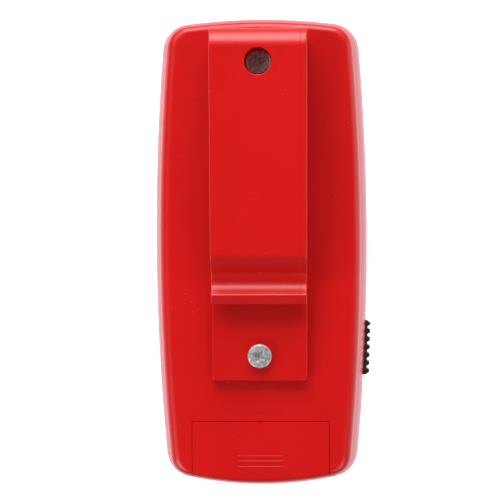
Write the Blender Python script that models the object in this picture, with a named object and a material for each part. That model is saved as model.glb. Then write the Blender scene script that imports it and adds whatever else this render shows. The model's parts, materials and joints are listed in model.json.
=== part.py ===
"""Pocket electronic metronome with a belt clip, modelled as the separate pieces it is assembled from.

Sizes below are in millimetres and MM turns them into metres. The origin is the middle of the belt's seat,
inside the clip's bend. +Z runs up the case, the dial side faces -Y and the clip side faces +Y.
"""
import math

import bmesh
import bpy
from mathutils import Vector

MM = 0.001
GAP = 0.3                      # clearance between neighbouring pieces
WALL = 2.0                     # moulded wall of the covers

# Clip: one moulding, a base plate against the case and a springy leaf in front of it
CLIP_THICK = 2.0
BELT_GAP = 5.0
CLIP_INNER = BELT_GAP / 2
CLIP_OUTER = CLIP_INNER + CLIP_THICK
BEND_Z = -CLIP_INNER           # centre of the bend, a bend's radius below the belt seat
BASE_END_Z = -79.9
CLIP_HALF_TOP = 11.35
CLIP_HALF_END = 11.05
RAMP_START_Z = -51.2
RAMP_END_Z = -56.4
VALLEY_RADIUS = 3.3            # of the hollow between the ramp and the lip
LIP_EDGE = (2.8, -59.75)       # y and z of the lip's outer edge
LIP_END = (2.0, -61.9)
ACCESS_HOLE = 3.15             # radius of the screwdriver's way through the leaf
ACCESS_Z = -5.9

# Case: four large arcs and four corners, two drafted covers that meet at the parting plane
CASE_HALF_WIDTH = 25.0
CASE_HALF_HEIGHT = 55.0
CASE_CENTRE_Z = -50.2
SIDE_RADIUS = 555.0
SIDE_WIDEST = 3.3              # height of the widest place above the case's middle
TOP_RADIUS = 138.0
BOTTOM_RADIUS = 83.0
TOP_CORNER = 6.6
BOTTOM_CORNER = 6.4
BACK_Y = -CLIP_OUTER - GAP
COVER_DEPTH = 11.0
PARTING_Y = BACK_Y - COVER_DEPTH
FRONT_Y = PARTING_Y - COVER_DEPTH
DRAFT = 1.3
EDGE_RADIUS = 2.2
EDGE_STEPS = 4
BACK_FLOOR_Y = BACK_Y - WALL
FRONT_FLOOR_Y = FRONT_Y + WALL
BURY = 0.4                     # how far a boss or rib runs into the wall that it grows from

# Screws
CLIP_SCREW_UPPER_Z = -5.8
CLIP_SCREW_LOWER_Z = -74.1
SCREW_HEAD = 2.8
SCREW_HEAD_HEIGHT = 1.6
SCREW_SHANK = 1.2
SCREW_HOLE = SCREW_SHANK + GAP
UPPER_SCREW_END_Y = -20.5
LOWER_SCREW_END_Y = -11.0
BOSS = 3.3
SMALL_HEAD = 1.9
SMALL_SHANK = 0.8
SMALL_HOLE = SMALL_SHANK + GAP
SMALL_BOSS = 2.3

# Circuit board and what it carries
BOARD_FRONT_Y = -18.6
BOARD_BACK_Y = -17.2
ON_BOARD_Y = BOARD_BACK_Y + GAP
BOARD_OUTLINE = ((-13.0, 1.4), (13.0, 1.4), (19.4, -4.6), (19.4, -56.0), (-15.0, -56.0),
                 (-15.0, -84.0), (-19.4, -84.0), (-19.4, -4.6))
BOARD_SCREWS = {"left": (-15.4, -10.5), "right": (15.4, -10.5), "lower": (-7.5, -51.5)}
CHIP_LOW = (-5.0, -49.5)
CHIP_HIGH = (5.0, -38.0)
CHIP_TOP_Y = -13.4
CRYSTAL = (10.5, -15.4)        # x and y of the can's axis
CRYSTAL_Z = (-47.0, -38.6)
CAPACITOR = (12.5, -21.0)
CAPACITOR_TOP_Y = -9.6

# Tempo dial on the front
DIAL_Z = -28.0
DIAL_RADIUS = 15.5
DIAL_SIDES = 40
DIAL_BASE_Y = FRONT_Y - GAP
DIAL_FACE_Y = DIAL_BASE_Y - 4.5
FLUTE_DEPTH = 0.35
HUB_RADIUS = 3.7
HUB_END_Y = -22.8
CARRIER_RADIUS = 7.5
CARRIER_END_Y = -19.8
RING_INNER = DIAL_RADIUS + 0.6
RING_OUTER = 20.9
LAMP = (9.0, -3.7)
LAMP_RADIUS = 2.5

# Speaker behind a slotted grille
SPEAKER_Z = -72.0
SPEAKER_RADIUS = 14.0
GRILLE_RADIUS = 12.0
GRILLE_PITCH = 3.2
GRILLE_SLOT = 1.4
GRILLE_SLOTS = 7

# Slide switch on the -X side
KNOB_Y = -16.2
KNOB_Z = -72.8
KNOB_HALF_LENGTH = 6.5
KNOB_HALF_WIDTH = 2.4
KNOB_TRAVEL = 1.5              # each way, stated in the record
KNOB_TIP_UPPER = -25.85
KNOB_TIP_LOWER = -25.45
KNOB_VALLEY = -25.12
KNOB_ROOT = -20.5
RIBS = 7
RIB_PITCH = 1.88
RIB_TOP = 0.45
RIB_FOOT = 0.75
SHUTTER = (-20.8, -20.2)
SHUTTER_HALF = 9.9
LEVER_Y = -14.9
SWITCH = (-19.7, -15.6)

# Earphone socket in the top end
SOCKET_X = -7.0
SOCKET_Y = -14.7
SOCKET_BORE = 1.8

# Battery and its door
DOOR_HALF_WIDTH = 16.0
DOOR_TOP_Z = -89.7
DOOR_PROUD = 0.15              # how far the door's end stands out of the case
CELL_Y = -16.2
CELL_Z = -95.5
CELL_RADIUS = 5.15
CELL_X = (-13.35, 15.15)
PLATE_X = (15.45, 15.85)
SPRING_X = (-13.65, -16.0)
SPRING_WIRE = 0.3
SPRING_TURNS = 2.5
SHELF_Z = (-89.9, -88.7)
BAY_TOP_Y = -9.2
LIP_Y = (-8.1, -7.1)
LEAD_RADIUS = 0.5


# ---------------------------------------------------------------- finishes
class Finish:
    """A surface: its colour as linear RGB, its roughness and its metallic value."""

    def __init__(self, name, colour, roughness, metallic=0.0):
        self.material = bpy.data.materials.new(name)
        self.material.use_nodes = True
        shader = self.material.node_tree.nodes["Principled BSDF"]
        shader.inputs["Base Color"].default_value = (*colour, 1.0)
        shader.inputs["Roughness"].default_value = roughness
        shader.inputs["Metallic"].default_value = metallic
        self.material.diffuse_color = (*colour, 1.0)


# ---------------------------------------------------------------- shapes
def at(x, y, z):
    """A place given in millimetres, as a vector in metres."""
    return Vector((x, y, z)) * MM


def close(bm):
    """Turn every face of a closed mesh outwards."""
    bmesh.ops.recalc_face_normals(bm, faces=bm.faces)
    return bm


def skin(bm, first, second):
    """Faces between two loops of points, either of which may be a single point."""
    count = max(len(first), len(second))
    for k in range(count):
        after = (k + 1) % count
        if len(first) == 1:
            bm.faces.new((first[0], second[after], second[k]))
        elif len(second) == 1:
            bm.faces.new((first[k], first[after], second[0]))
        else:
            bm.faces.new((first[k], first[after], second[after], second[k]))


def box(low, high):
    """Block between two corners."""
    bm = bmesh.new()
    bmesh.ops.create_cube(bm, size=1.0)
    middle = (Vector(low) + Vector(high)) / 2 * MM
    size = (Vector(high) - Vector(low)) * MM
    for vert in bm.verts:
        vert.co = Vector((vert.co.x * size.x, vert.co.y * size.y, vert.co.z * size.z)) + middle
    return bm


def turned(profile, centre, axis="Y", sides=28, ring=False, fluted_from=math.inf):
    """Turned solid. The profile is (radius, place along the axis); ring closes it around a hole.

    Circles as wide as fluted_from or wider are fluted.
    """
    x, y, z = centre
    bm = bmesh.new()
    loops = []
    for radius, along in profile:
        places = []
        for k in range(sides if radius else 1):
            angle = math.tau * k / sides
            fluted = radius >= fluted_from and k % 2
            reach = radius - FLUTE_DEPTH if fluted else radius
            u = reach * math.cos(angle)
            v = reach * math.sin(angle)
            if axis == "Y":
                places.append(at(x + u, along, z + v))
            elif axis == "Z":
                places.append(at(x + u, y + v, along))
            else:
                places.append(at(along, y + u, z + v))
        loops.append([bm.verts.new(place) for place in places])
    for first, second in zip(loops, loops[1:]):
        skin(bm, first, second)
    if ring:
        skin(bm, loops[-1], loops[0])
    return close(bm)


def rod(radius, start, end, centre, axis="Y", sides=24):
    """Plain cylinder from start to end along the axis."""
    profile = ((0, start), (radius, start), (radius, end), (0, end))
    return turned(profile, centre, axis, sides)


def slab(points, start, end):
    """Flat outline of (x, z) points given thickness along Y."""
    bm = bmesh.new()
    loops = []
    for depth in (start, end):
        loops.append([bm.verts.new(at(x, depth, z)) for x, z in points])
    skin(bm, loops[0], loops[1])
    bm.faces.new(loops[0])
    bm.faces.new(loops[1])
    return close(bm)


def arc(centre, radius, start, end, steps):
    """Points of an arc from angle start to angle end, both in radians."""
    u, v = centre
    angles = [start + (end - start) * k / steps for k in range(steps + 1)]
    return [(u + radius * math.cos(angle), v + radius * math.sin(angle)) for angle in angles]


def hollow(start, corner, end, radius, steps):
    """Points of the arc that rounds the corner between two straight runs."""
    first = (Vector(corner) - Vector(start)).normalized()
    second = (Vector(end) - Vector(corner)).normalized()
    half_turn = first.angle(second) / 2
    centre = Vector(corner) + (second - first).normalized() * radius / math.cos(half_turn)
    middle = Vector(corner) - centre
    heading = math.atan2(middle.y, middle.x)
    side = math.copysign(1, first.x * second.y - first.y * second.x)
    return arc(tuple(centre), radius, heading - side * half_turn, heading + side * half_turn, steps)


def smooth_route(points, steps):
    """Smooth curve through a route's points, with a few steps between each two."""
    route = [Vector(point) for point in points]
    ends = [2 * route[0] - route[1], *route, 2 * route[-1] - route[-2]]
    result = []
    for a, b, c, d in zip(ends, ends[1:], ends[2:], ends[3:]):
        for k in range(steps):
            t = k / steps
            linear = (c - a) * t
            square = (2 * a - 5 * b + 4 * c - d) * t * t
            cube = (3 * b - a - 3 * c + d) * t ** 3
            result.append(b + (linear + square + cube) / 2)
    return [*result, route[-1]]


# ---------------------------------------------------------------- objects
def add(name, bm, finish, origin=(0, 0, 0), smooth_angle=35):
    """One piece in its own object, with its origin where its joint's axis is."""
    start = at(*origin)
    bmesh.ops.translate(bm, verts=bm.verts, vec=-start)
    mesh = bpy.data.meshes.new(name)
    bm.to_mesh(mesh)
    bm.free()
    mesh.shade_smooth()
    mesh.set_sharp_from_angle(angle=math.radians(smooth_angle))
    mesh.materials.append(finish.material)
    piece = bpy.data.objects.new(name, mesh)
    piece.location = start
    bpy.context.scene.collection.objects.link(piece)
    return piece


def shape(piece, bm, operation):
    """Cut a tool's shape from a piece, or join it on."""
    mesh = bpy.data.meshes.new(f"{piece.name}_tool")
    bm.to_mesh(mesh)
    bm.free()
    tool = bpy.data.objects.new(mesh.name, mesh)
    tool.hide_render = True
    tool.display_type = "WIRE"
    bpy.context.scene.collection.objects.link(tool)
    modifier = piece.modifiers.new(operation.title(), "BOOLEAN")
    modifier.operation = operation
    modifier.solver = "EXACT"
    modifier.object = tool


def cut(piece, *tools):
    """Cut each tool's shape from a piece."""
    for bm in tools:
        shape(piece, bm, "DIFFERENCE")


def join(piece, *tools):
    """Join each tool's shape on a piece."""
    for bm in tools:
        shape(piece, bm, "UNION")


def wire(name, points, radius, finish):
    """Round wire along points."""
    curve = bpy.data.curves.new(name, "CURVE")
    curve.dimensions = "3D"
    curve.bevel_depth = radius * MM
    curve.bevel_resolution = 2
    curve.use_fill_caps = True
    curve.materials.append(finish.material)
    spline = curve.splines.new("POLY")
    spline.points.add(len(points) - 1)
    for place, point in zip(spline.points, points):
        place.co = (*(Vector(point) * MM), 1.0)
    piece = bpy.data.objects.new(name, curve)
    bpy.context.scene.collection.objects.link(piece)


# ---------------------------------------------------------------- case outline
def meeting(first, first_radius, second, second_radius):
    """Right-hand crossing of two circles, where a corner's centre lies."""
    a = Vector(first)
    b = Vector(second)
    apart = (b - a).length
    along = (apart ** 2 + first_radius ** 2 - second_radius ** 2) / (2 * apart)
    off = math.sqrt(first_radius ** 2 - along ** 2)
    way = (b - a) / apart
    middle = a + way * along
    options = (middle + Vector((way.y, -way.x)) * off, middle - Vector((way.y, -way.x)) * off)
    return max(options, key=lambda place: place.x)


def case_outline(inset):
    """Case outline shrunk by inset, as (x, z) points; each arc keeps its centre, so insets line up."""
    side = Vector((CASE_HALF_WIDTH - SIDE_RADIUS, CASE_CENTRE_Z + SIDE_WIDEST))
    top = Vector((0, CASE_CENTRE_Z + CASE_HALF_HEIGHT - TOP_RADIUS))
    bottom = Vector((0, CASE_CENTRE_Z - CASE_HALF_HEIGHT + BOTTOM_RADIUS))
    high = meeting(side, SIDE_RADIUS - TOP_CORNER, top, TOP_RADIUS - TOP_CORNER)
    low = meeting(side, SIDE_RADIUS - BOTTOM_CORNER, bottom, BOTTOM_RADIUS - BOTTOM_CORNER)

    def heading(start, end):
        return math.atan2(end.y - start.y, end.x - start.x)

    bends = (heading(bottom, low), heading(side, low), heading(side, high), heading(top, high))
    half = arc(bottom, BOTTOM_RADIUS - inset, -math.pi / 2, bends[0], 3)[:-1]
    half += arc(low, BOTTOM_CORNER - inset, bends[0], bends[1], 5)[:-1]
    half += arc(side, SIDE_RADIUS - inset, bends[1], bends[2], 6)[:-1]
    half += arc(high, TOP_CORNER - inset, bends[2], bends[3], 5)[:-1]
    half += arc(top, TOP_RADIUS - inset, bends[3], math.pi / 2, 3)
    return half + [(-x, z) for x, z in half[-2:0:-1]]


def cover(direction, proud=0.0):
    """Half of the case as a closed cup, +1 for the rear and -1 for the front; proud makes it stand out."""
    bend = COVER_DEPTH - EDGE_RADIUS
    outer = [(GAP / 2, 0.0)] + [(bend * share, DRAFT * share ** 2) for share in (0.4, 0.75, 1.0)]
    for depth, inset in arc((bend, DRAFT + EDGE_RADIUS), EDGE_RADIUS, -math.pi / 2, 0, EDGE_STEPS)[1:]:
        outer.append((depth, inset))
    inner = [(COVER_DEPTH - WALL, DRAFT + WALL), (GAP / 2, WALL)]
    bm = bmesh.new()
    loops = []
    for depth, inset in inner + outer:
        y = PARTING_Y + direction * depth
        outline = case_outline(inset - proud * ((depth, inset) in outer))
        loops.append([bm.verts.new(at(x, y, z)) for x, z in outline])
    for first, second in zip(loops, loops[1:]):
        skin(bm, first, second)
    bm.faces.new(loops[0])
    bm.faces.new(loops[-1])
    return close(bm)


# ---------------------------------------------------------------- covers
def switch_window():
    """Way through both covers' side walls for the switch knob."""
    half = KNOB_HALF_LENGTH + KNOB_TRAVEL + GAP
    reach = KNOB_HALF_WIDTH + GAP
    low = (-CASE_HALF_WIDTH - 1, KNOB_Y - reach, KNOB_Z - half)
    high = (-CASE_HALF_WIDTH + 6, KNOB_Y + reach, KNOB_Z + half)
    return box(low, high)


def socket_hole():
    """Way through both covers' top end for an earphone plug."""
    return rod(SOCKET_BORE, 1.5, 7.0, (SOCKET_X, SOCKET_Y, 0), "Z", 20)


def door_region(margin):
    """Block that holds the battery door's part of the rear shell, grown by margin."""
    half = DOOR_HALF_WIDTH + margin
    return box((-half, PARTING_Y - 1, -112), (half, 0, DOOR_TOP_Z + margin))


def rear_cover(red):
    """Rear shell with the door's opening, its lips' way out, the boss of the lower clip screw and holes."""
    shell = add("rear_cover", cover(1), red)
    lower = (0, 0, CLIP_SCREW_LOWER_Z)
    upper = (0, 0, CLIP_SCREW_UPPER_Z)
    join(shell, rod(BOSS, BACK_FLOOR_Y + BURY, LOWER_SCREW_END_Y - 2, lower))
    lip_way = DOOR_HALF_WIDTH + 1.6
    cut(shell,
        door_region(GAP),
        box((-lip_way, LIP_Y[0] - GAP, -112), (lip_way, LIP_Y[1] + 0.15, -98)),
        rod(SCREW_HOLE, LOWER_SCREW_END_Y - 0.8, 0, lower),
        rod(SCREW_HOLE + GAP, BACK_FLOOR_Y - 1, 0, upper),
        switch_window(),
        socket_hole())


def battery_door(red):
    """Door cut from the rear shell's lower end, with a tongue at the top, lips at the sides and grip ribs."""
    door = add("battery_door", cover(1, DOOR_PROUD), red, (0, BACK_Y, DOOR_TOP_Z))
    shape(door, door_region(0), "INTERSECT")
    low, high = LIP_Y
    join(door,
         box((-5, low, -92), (5, high, DOOR_TOP_Z + 3.2)),
         box((-5, low + 0.2, -92), (5, BACK_FLOOR_Y + BURY, DOOR_TOP_Z - 0.5)))
    for sign in (-1, 1):
        inner, outer = sorted((sign * (DOOR_HALF_WIDTH - 1.5), sign * (DOOR_HALF_WIDTH + 1.2)))
        root = sorted((sign * (DOOR_HALF_WIDTH - 1.4), sign * (DOOR_HALF_WIDTH - 0.1)))
        join(door,
             box((inner, low, -98.6), (outer, high, -92)),
             box((root[0], low + 0.2, -98.5), (root[1], BACK_FLOOR_Y + BURY, -92.1)))
    for z in (-97.9, -99.1, -100.4):
        join(door, box((-5.3, BACK_Y - BURY, z - 0.2), (5.3, BACK_Y + 0.15, z + 0.2)))


def front_cover(red):
    """Front shell with the dial's bore, the lamp's and grille's openings, bosses, ribs and the battery bay."""
    shell = add("front_cover", cover(-1), red)
    floor = FRONT_FLOOR_Y - BURY
    upper = (0, 0, CLIP_SCREW_UPPER_Z)
    join(shell, rod(BOSS, floor, BACK_FLOOR_Y - GAP, upper))
    for x, z in BOARD_SCREWS.values():
        join(shell, rod(SMALL_BOSS, floor, BOARD_FRONT_Y - GAP, (x, 0, z), sides=16))
    bay = ((-18.2, -17.0), (16.2, 17.4))
    join(shell, box((bay[0][0], floor, SHELF_Z[0]), (bay[1][1], BAY_TOP_Y, SHELF_Z[1])))
    for low, high in bay:
        join(shell, box((low + 0.01, floor + 0.01, -99), (high - 0.01, BAY_TOP_Y - 0.01, SHELF_Z[1] - 0.1)))
    for x in (-8, 8):
        cell_side = CELL_Y - CELL_RADIUS - GAP
        join(shell, box((x - 0.6, floor + 0.02, -99.5), (x + 0.6, cell_side, SHELF_Z[0] + 0.5)))
    for sign in (-1, 1):
        post = sorted((sign * 20.9, sign * 21.8))
        foot = sorted((sign * 20.91, sign * 23.2))
        join(shell,
             box((foot[0], -20.0, -60.9), (foot[1], -16.7, -55.1)),
             box((post[0], -19.9, -61), (post[1], -12.0, -55)))
    cut(shell,
        rod(HUB_RADIUS + GAP, FRONT_Y - 1, FRONT_FLOOR_Y + 1, (0, 0, DIAL_Z), sides=28),
        rod(LAMP_RADIUS + GAP, FRONT_Y - 1, FRONT_FLOOR_Y + 1, (LAMP[0], 0, LAMP[1]), sides=20),
        rod(SCREW_HOLE, UPPER_SCREW_END_Y - 1, 0, upper),
        switch_window(),
        socket_hole())
    for x, z in BOARD_SCREWS.values():
        cut(shell, rod(SMALL_HOLE, BOARD_FRONT_Y - 5, BOARD_FRONT_Y + 1, (x, 0, z), sides=12))
    for k in range(GRILLE_SLOTS):
        z = (k - (GRILLE_SLOTS - 1) / 2) * GRILLE_PITCH
        half = math.sqrt(GRILLE_RADIUS ** 2 - z ** 2)
        low = (-half, FRONT_Y - 1, SPEAKER_Z + z - GRILLE_SLOT / 2)
        high = (half, FRONT_FLOOR_Y + 1, SPEAKER_Z + z + GRILLE_SLOT / 2)
        cut(shell, box(low, high))
    for x in (-12.2, 12.2):
        cut(shell, box((x - 1, -12, SHELF_Z[0] - 1), (x + 1, BAY_TOP_Y + 1, SHELF_Z[1] + 1)))


# ---------------------------------------------------------------- clip
def clip_prism(points):
    """Side view of (y, z) points given the clip's width, which narrows slightly towards the lower end."""
    bm = bmesh.new()
    loops = []
    for sign in (-1, 1):
        loop = []
        for y, z in points:
            share = (z - BASE_END_Z) / (CLIP_THICK - BASE_END_Z)
            half = CLIP_HALF_END + (CLIP_HALF_TOP - CLIP_HALF_END) * share
            loop.append(bm.verts.new(at(sign * half, y, z)))
        loops.append(loop)
    skin(bm, loops[0], loops[1])
    bm.faces.new(loops[0])
    bm.faces.new(loops[1])
    return close(bm)


def clip_base(red):
    """Plate that the two screws hold against the rear cover."""
    top = BEND_Z - GAP / 2
    points = ((-CLIP_OUTER, top), (-CLIP_INNER, top), (-CLIP_INNER, BASE_END_Z), (-CLIP_OUTER, BASE_END_Z))
    plate = add("clip_base", clip_prism(points), red)
    for z in (CLIP_SCREW_UPPER_Z, CLIP_SCREW_LOWER_Z):
        cut(plate, rod(SCREW_HOLE, -CLIP_OUTER - 1, -CLIP_INNER + 1, (0, 0, z)))


def clip_leaf(red):
    """Bend and springy leaf, which ramps in until it nearly meets the base, then turns out in a thick lip."""
    start = BEND_Z + GAP / 2
    valley = -CLIP_INNER + GAP
    ramp = math.atan2(CLIP_OUTER - valley - CLIP_THICK, RAMP_START_Z - RAMP_END_Z)
    shift = CLIP_THICK * math.tan(ramp / 2)
    ramp_start = (CLIP_OUTER, RAMP_START_Z)
    bottom = hollow(ramp_start, (valley + CLIP_THICK, RAMP_END_Z), LIP_EDGE, VALLEY_RADIUS, 7)
    outside = arc((0, BEND_Z), CLIP_OUTER, math.pi, 0, 14)
    inside = arc((0, BEND_Z), CLIP_INNER, 0, math.pi, 14)
    points = [(-CLIP_OUTER, start), *outside[1:], ramp_start, *bottom, LIP_EDGE, LIP_END,
              (valley, RAMP_END_Z - 1.4), (valley, RAMP_END_Z - shift),
              (CLIP_INNER, RAMP_START_Z - shift), *inside[:-1], (-CLIP_INNER, start)]
    pivot = (0, -(CLIP_INNER + CLIP_OUTER) / 2, BEND_Z)
    leaf = add("clip_leaf", clip_prism(points), red, pivot)
    cut(leaf, rod(ACCESS_HOLE, 0, CLIP_OUTER + 1, (0, 0, ACCESS_Z), sides=32))


# ---------------------------------------------------------------- fasteners
def cross_recess(depth_y, reach, width, centre, height):
    """Cross-shaped tool that opens a screw's drive recess towards +Y."""
    x, z = centre
    arm = width / 2
    corners = [(arm, reach), (arm, arm), (reach, arm), (reach, -arm), (arm, -arm), (arm, -reach),
               (-arm, -reach), (-arm, -arm), (-reach, -arm), (-reach, arm), (-arm, arm), (-arm, reach)]
    return slab([(x + u, z + v) for u, v in corners], depth_y, depth_y + height)


def screw(name, finish, centre, seat, end, head, height, shank, origin=(0, 0, 0), sides=14):
    """Pan-head screw driven along -Y: its head rests at seat and its point is at end."""
    x, z = centre
    top = seat + height
    profile = ((0, end), (shank * 0.5, end), (shank, end + 1.2), (shank, seat), (head, seat),
               (head, seat + height * 0.45), (head * 0.8, seat + height * 0.85), (head * 0.4, top), (0, top))
    piece = add(name, turned(profile, (x, 0, z), sides=sides), finish, origin)
    cut(piece, cross_recess(seat + height * 0.45, head * 0.6, head * 0.24, centre, height))


# ---------------------------------------------------------------- electronics
def circuit_board(green):
    """Board behind the dial, with a strip that runs down beside the speaker to the switch."""
    board = add("circuit_board", slab(BOARD_OUTLINE, BOARD_FRONT_Y, BOARD_BACK_Y), green)
    low = BOARD_FRONT_Y - 1
    high = BOARD_BACK_Y + 1
    cut(board,
        rod(BOSS + GAP, low, high, (0, 0, CLIP_SCREW_UPPER_Z)),
        rod(4.5, low, high, (0, 0, DIAL_Z)))
    for x, z in BOARD_SCREWS.values():
        cut(board, rod(SMALL_HOLE, low, high, (x, 0, z), sides=12))


def board_parts(black, steel, blue):
    """Chip, crystal, capacitor and earphone socket on the board's rear side."""
    add("main_chip", box((CHIP_LOW[0], ON_BOARD_Y, CHIP_LOW[1]), (CHIP_HIGH[0], CHIP_TOP_Y, CHIP_HIGH[1])), black)
    x, y = CRYSTAL
    low, high = CRYSTAL_Z
    can = ((0, low), (1.45, low), (1.45, high - 0.5), (1.0, high), (0, high))
    add("quartz_crystal", turned(can, (x, y, 0), "Z", 16), steel)
    x, z = CAPACITOR
    sleeve = ((0, ON_BOARD_Y), (3.15, ON_BOARD_Y), (3.15, CAPACITOR_TOP_Y - 0.4), (2.8, CAPACITOR_TOP_Y),
              (0, CAPACITOR_TOP_Y))
    add("capacitor", turned(sleeve, (x, 0, z), sides=20), blue)
    low = (SOCKET_X - 3, ON_BOARD_Y, -9.5)
    high = (SOCKET_X + 2.9, -12.3, 1.6)
    socket = add("earphone_socket", box(low, high), black)
    cut(socket, rod(SOCKET_BORE, -8.0, 3.0, (SOCKET_X, SOCKET_Y, 0), "Z", 20))


def switch(black, steel):
    """Switch body on the board's strip, and the ribbed knob with the shutter that closes its window."""
    x_low, x_high = SWITCH
    body = add("switch_housing", box((x_low, ON_BOARD_Y, KNOB_Z - 5), (x_high, -12.9, KNOB_Z + 5)), steel)
    slot = 1.2 + KNOB_TRAVEL + GAP
    cut(body, box((x_low - 1, LEVER_Y - 1.1, KNOB_Z - slot), (x_low + 2.3, LEVER_Y + 1.1, KNOB_Z + slot)))

    def tip(z):
        share = (z + KNOB_HALF_LENGTH) / (2 * KNOB_HALF_LENGTH)
        return KNOB_TIP_LOWER + (KNOB_TIP_UPPER - KNOB_TIP_LOWER) * share

    half = KNOB_HALF_LENGTH
    points = [(KNOB_ROOT, half), (KNOB_VALLEY + 0.35, half)]
    for k in range(RIBS):
        z = ((RIBS - 1) / 2 - k) * RIB_PITCH
        points += [(KNOB_VALLEY, z + RIB_FOOT), (tip(z), z + RIB_TOP), (tip(z), z - RIB_TOP),
                   (KNOB_VALLEY, z - RIB_FOOT)]
    points += [(KNOB_VALLEY + 0.35, -half), (KNOB_ROOT, -half)]
    points = [(x, KNOB_Z + z) for x, z in points]
    bm = slab(points, KNOB_Y - KNOB_HALF_WIDTH, KNOB_Y + KNOB_HALF_WIDTH)
    knob = add("slide_knob", bm, black, (SHUTTER[0], KNOB_Y, KNOB_Z))
    cover_half = KNOB_HALF_WIDTH + 1.0
    join(knob,
         box((SHUTTER[0], KNOB_Y - cover_half, KNOB_Z - SHUTTER_HALF),
             (SHUTTER[1], KNOB_Y + cover_half, KNOB_Z + SHUTTER_HALF)),
         box((SHUTTER[0] + 0.2, LEVER_Y - 0.8, KNOB_Z - 1.2), (x_low + 1.9, LEVER_Y + 0.8, KNOB_Z + 1.2)))


def dial(black, silver, brass, clear, steel):
    """Tempo dial through the front cover, the wiper that turns with it, its scale ring and the beat lamp."""
    pivot = (0, DIAL_BASE_Y, DIAL_Z)
    centre = (0, 0, DIAL_Z)
    profile = ((1.1, HUB_END_Y - 5.5), (1.1, HUB_END_Y), (HUB_RADIUS - 0.8, HUB_END_Y),
               (HUB_RADIUS - 0.8, HUB_END_Y - 1.8), (HUB_RADIUS, HUB_END_Y - 1.9), (HUB_RADIUS, DIAL_BASE_Y),
               (DIAL_RADIUS, DIAL_BASE_Y), (DIAL_RADIUS, DIAL_FACE_Y + 1.0),
               (DIAL_RADIUS - 1.0, DIAL_FACE_Y), (0, DIAL_FACE_Y))
    bm = turned([(0, HUB_END_Y - 5.5), *profile], centre, sides=DIAL_SIDES, fluted_from=CARRIER_RADIUS)
    knob = add("tempo_dial", bm, black, pivot)
    join(knob, box((-0.7, DIAL_FACE_Y - 0.5, DIAL_Z + 5), (0.7, DIAL_FACE_Y + 0.5, DIAL_Z + 13.6)))
    hub_hole = HUB_RADIUS - 0.8 + GAP
    profile = ((hub_hole, FRONT_FLOOR_Y + GAP), (CARRIER_RADIUS, FRONT_FLOOR_Y + GAP),
               (CARRIER_RADIUS, CARRIER_END_Y), (1.3, CARRIER_END_Y), (1.3, HUB_END_Y + GAP),
               (hub_hole, HUB_END_Y + GAP))
    # the carrier's foot is wider than the hub's shoulder, so the dial can't be pulled out
    add("wiper_carrier", turned(profile, centre, sides=28, ring=True), silver, pivot)
    wiper_low = CARRIER_END_Y + GAP
    wiper_high = BOARD_FRONT_Y - GAP
    profile = ((4.8, wiper_low), (7.2, wiper_low), (7.2, wiper_high), (4.8, wiper_high))
    add("wiper_contact", turned(profile, centre, sides=24, ring=True), brass, pivot)
    screw("dial_screw", steel, (0, DIAL_Z), CARRIER_END_Y + GAP, -27.5, SMALL_HEAD, 1.1, SMALL_SHANK, pivot)
    profile = ((RING_INNER, DIAL_BASE_Y), (RING_OUTER, DIAL_BASE_Y), (RING_OUTER, DIAL_BASE_Y - 0.4),
               (RING_INNER, DIAL_BASE_Y - 0.4))
    add("scale_ring", turned(profile, centre, sides=DIAL_SIDES, ring=True), silver)
    dome = arc((FRONT_Y + 1.2, 0), LAMP_RADIUS, math.pi / 2, math.pi, 4)
    lens = [(0, BOARD_FRONT_Y - GAP), (2.9, BOARD_FRONT_Y - GAP), (2.9, BOARD_FRONT_Y - 1.3),
            (LAMP_RADIUS, BOARD_FRONT_Y - 1.3)]
    lens += [(max(radius, 0) if k < 4 else 0, y) for k, (y, radius) in enumerate(dome)]
    add("beat_lamp", turned(lens, (LAMP[0], 0, LAMP[1]), sides=20), clear)


def speaker(steel, paper, dark):
    """Speaker's basket, cone and magnet behind the grille."""
    centre = (0, 0, SPEAKER_Z)
    rim = FRONT_FLOOR_Y + GAP
    basket = ((11.6, rim), (SPEAKER_RADIUS, rim), (SPEAKER_RADIUS, rim + 1.0), (12.4, rim + 1.0),
              (9.6, rim + 4.9), (2.6, rim + 4.9), (2.6, rim + 4.2), (9.0, rim + 4.2), (11.6, rim + 0.8))
    add("speaker_frame", turned(basket, centre, ring=True), steel)
    cone = ((0, rim + 2.2), (2.5, rim + 2.5), (11.0, rim + 0.1), (11.2, rim + 0.5), (2.6, rim + 3.0),
            (0, rim + 2.7))
    add("speaker_cone", turned(cone, centre), paper)
    back = rim + 4.9 + GAP
    magnet = ((0, back), (6.5, back), (6.5, back + 2.6), (6.0, back + 3.0), (0, back + 3.0))
    add("speaker_magnet", turned(magnet, centre, sides=24), dark)


# ---------------------------------------------------------------- power and leads
def battery(sleeve, steel):
    """Short 12 V cell lying across the case, its contact plate and its spring."""
    low, high = CELL_X
    cell = ((0, low), (CELL_RADIUS - 0.4, low), (CELL_RADIUS, low + 0.4), (CELL_RADIUS, high - 1.4),
            (CELL_RADIUS - 0.4, high - 1.0), (2.2, high - 1.0), (2.2, high), (0, high))
    add("battery_cell", turned(cell, (0, CELL_Y, CELL_Z), "X"), sleeve)
    add("battery_contact_plate", box((PLATE_X[0], -20.8, -99.2), (PLATE_X[1], -10.4, -90.8)), steel)
    points = []
    steps = 24
    for k in range(steps + 1):
        share = k / steps
        angle = math.tau * SPRING_TURNS * share + math.pi / 2
        radius = 1.6 + 2.4 * share
        x = SPRING_X[0] - SPRING_WIRE + (SPRING_X[1] - SPRING_X[0]) * share
        points.append((x, CELL_Y + radius * math.cos(angle), CELL_Z + radius * math.sin(angle)))
    x, y, z = points[-1]
    points += [(x, y + 1.5, z + 0.1), (x, y + 3.5, z + 1.2), (x, -11.8, -92.4), (x, -10.8, -91.9)]
    wire("battery_spring", points, SPRING_WIRE, steel)


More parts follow.
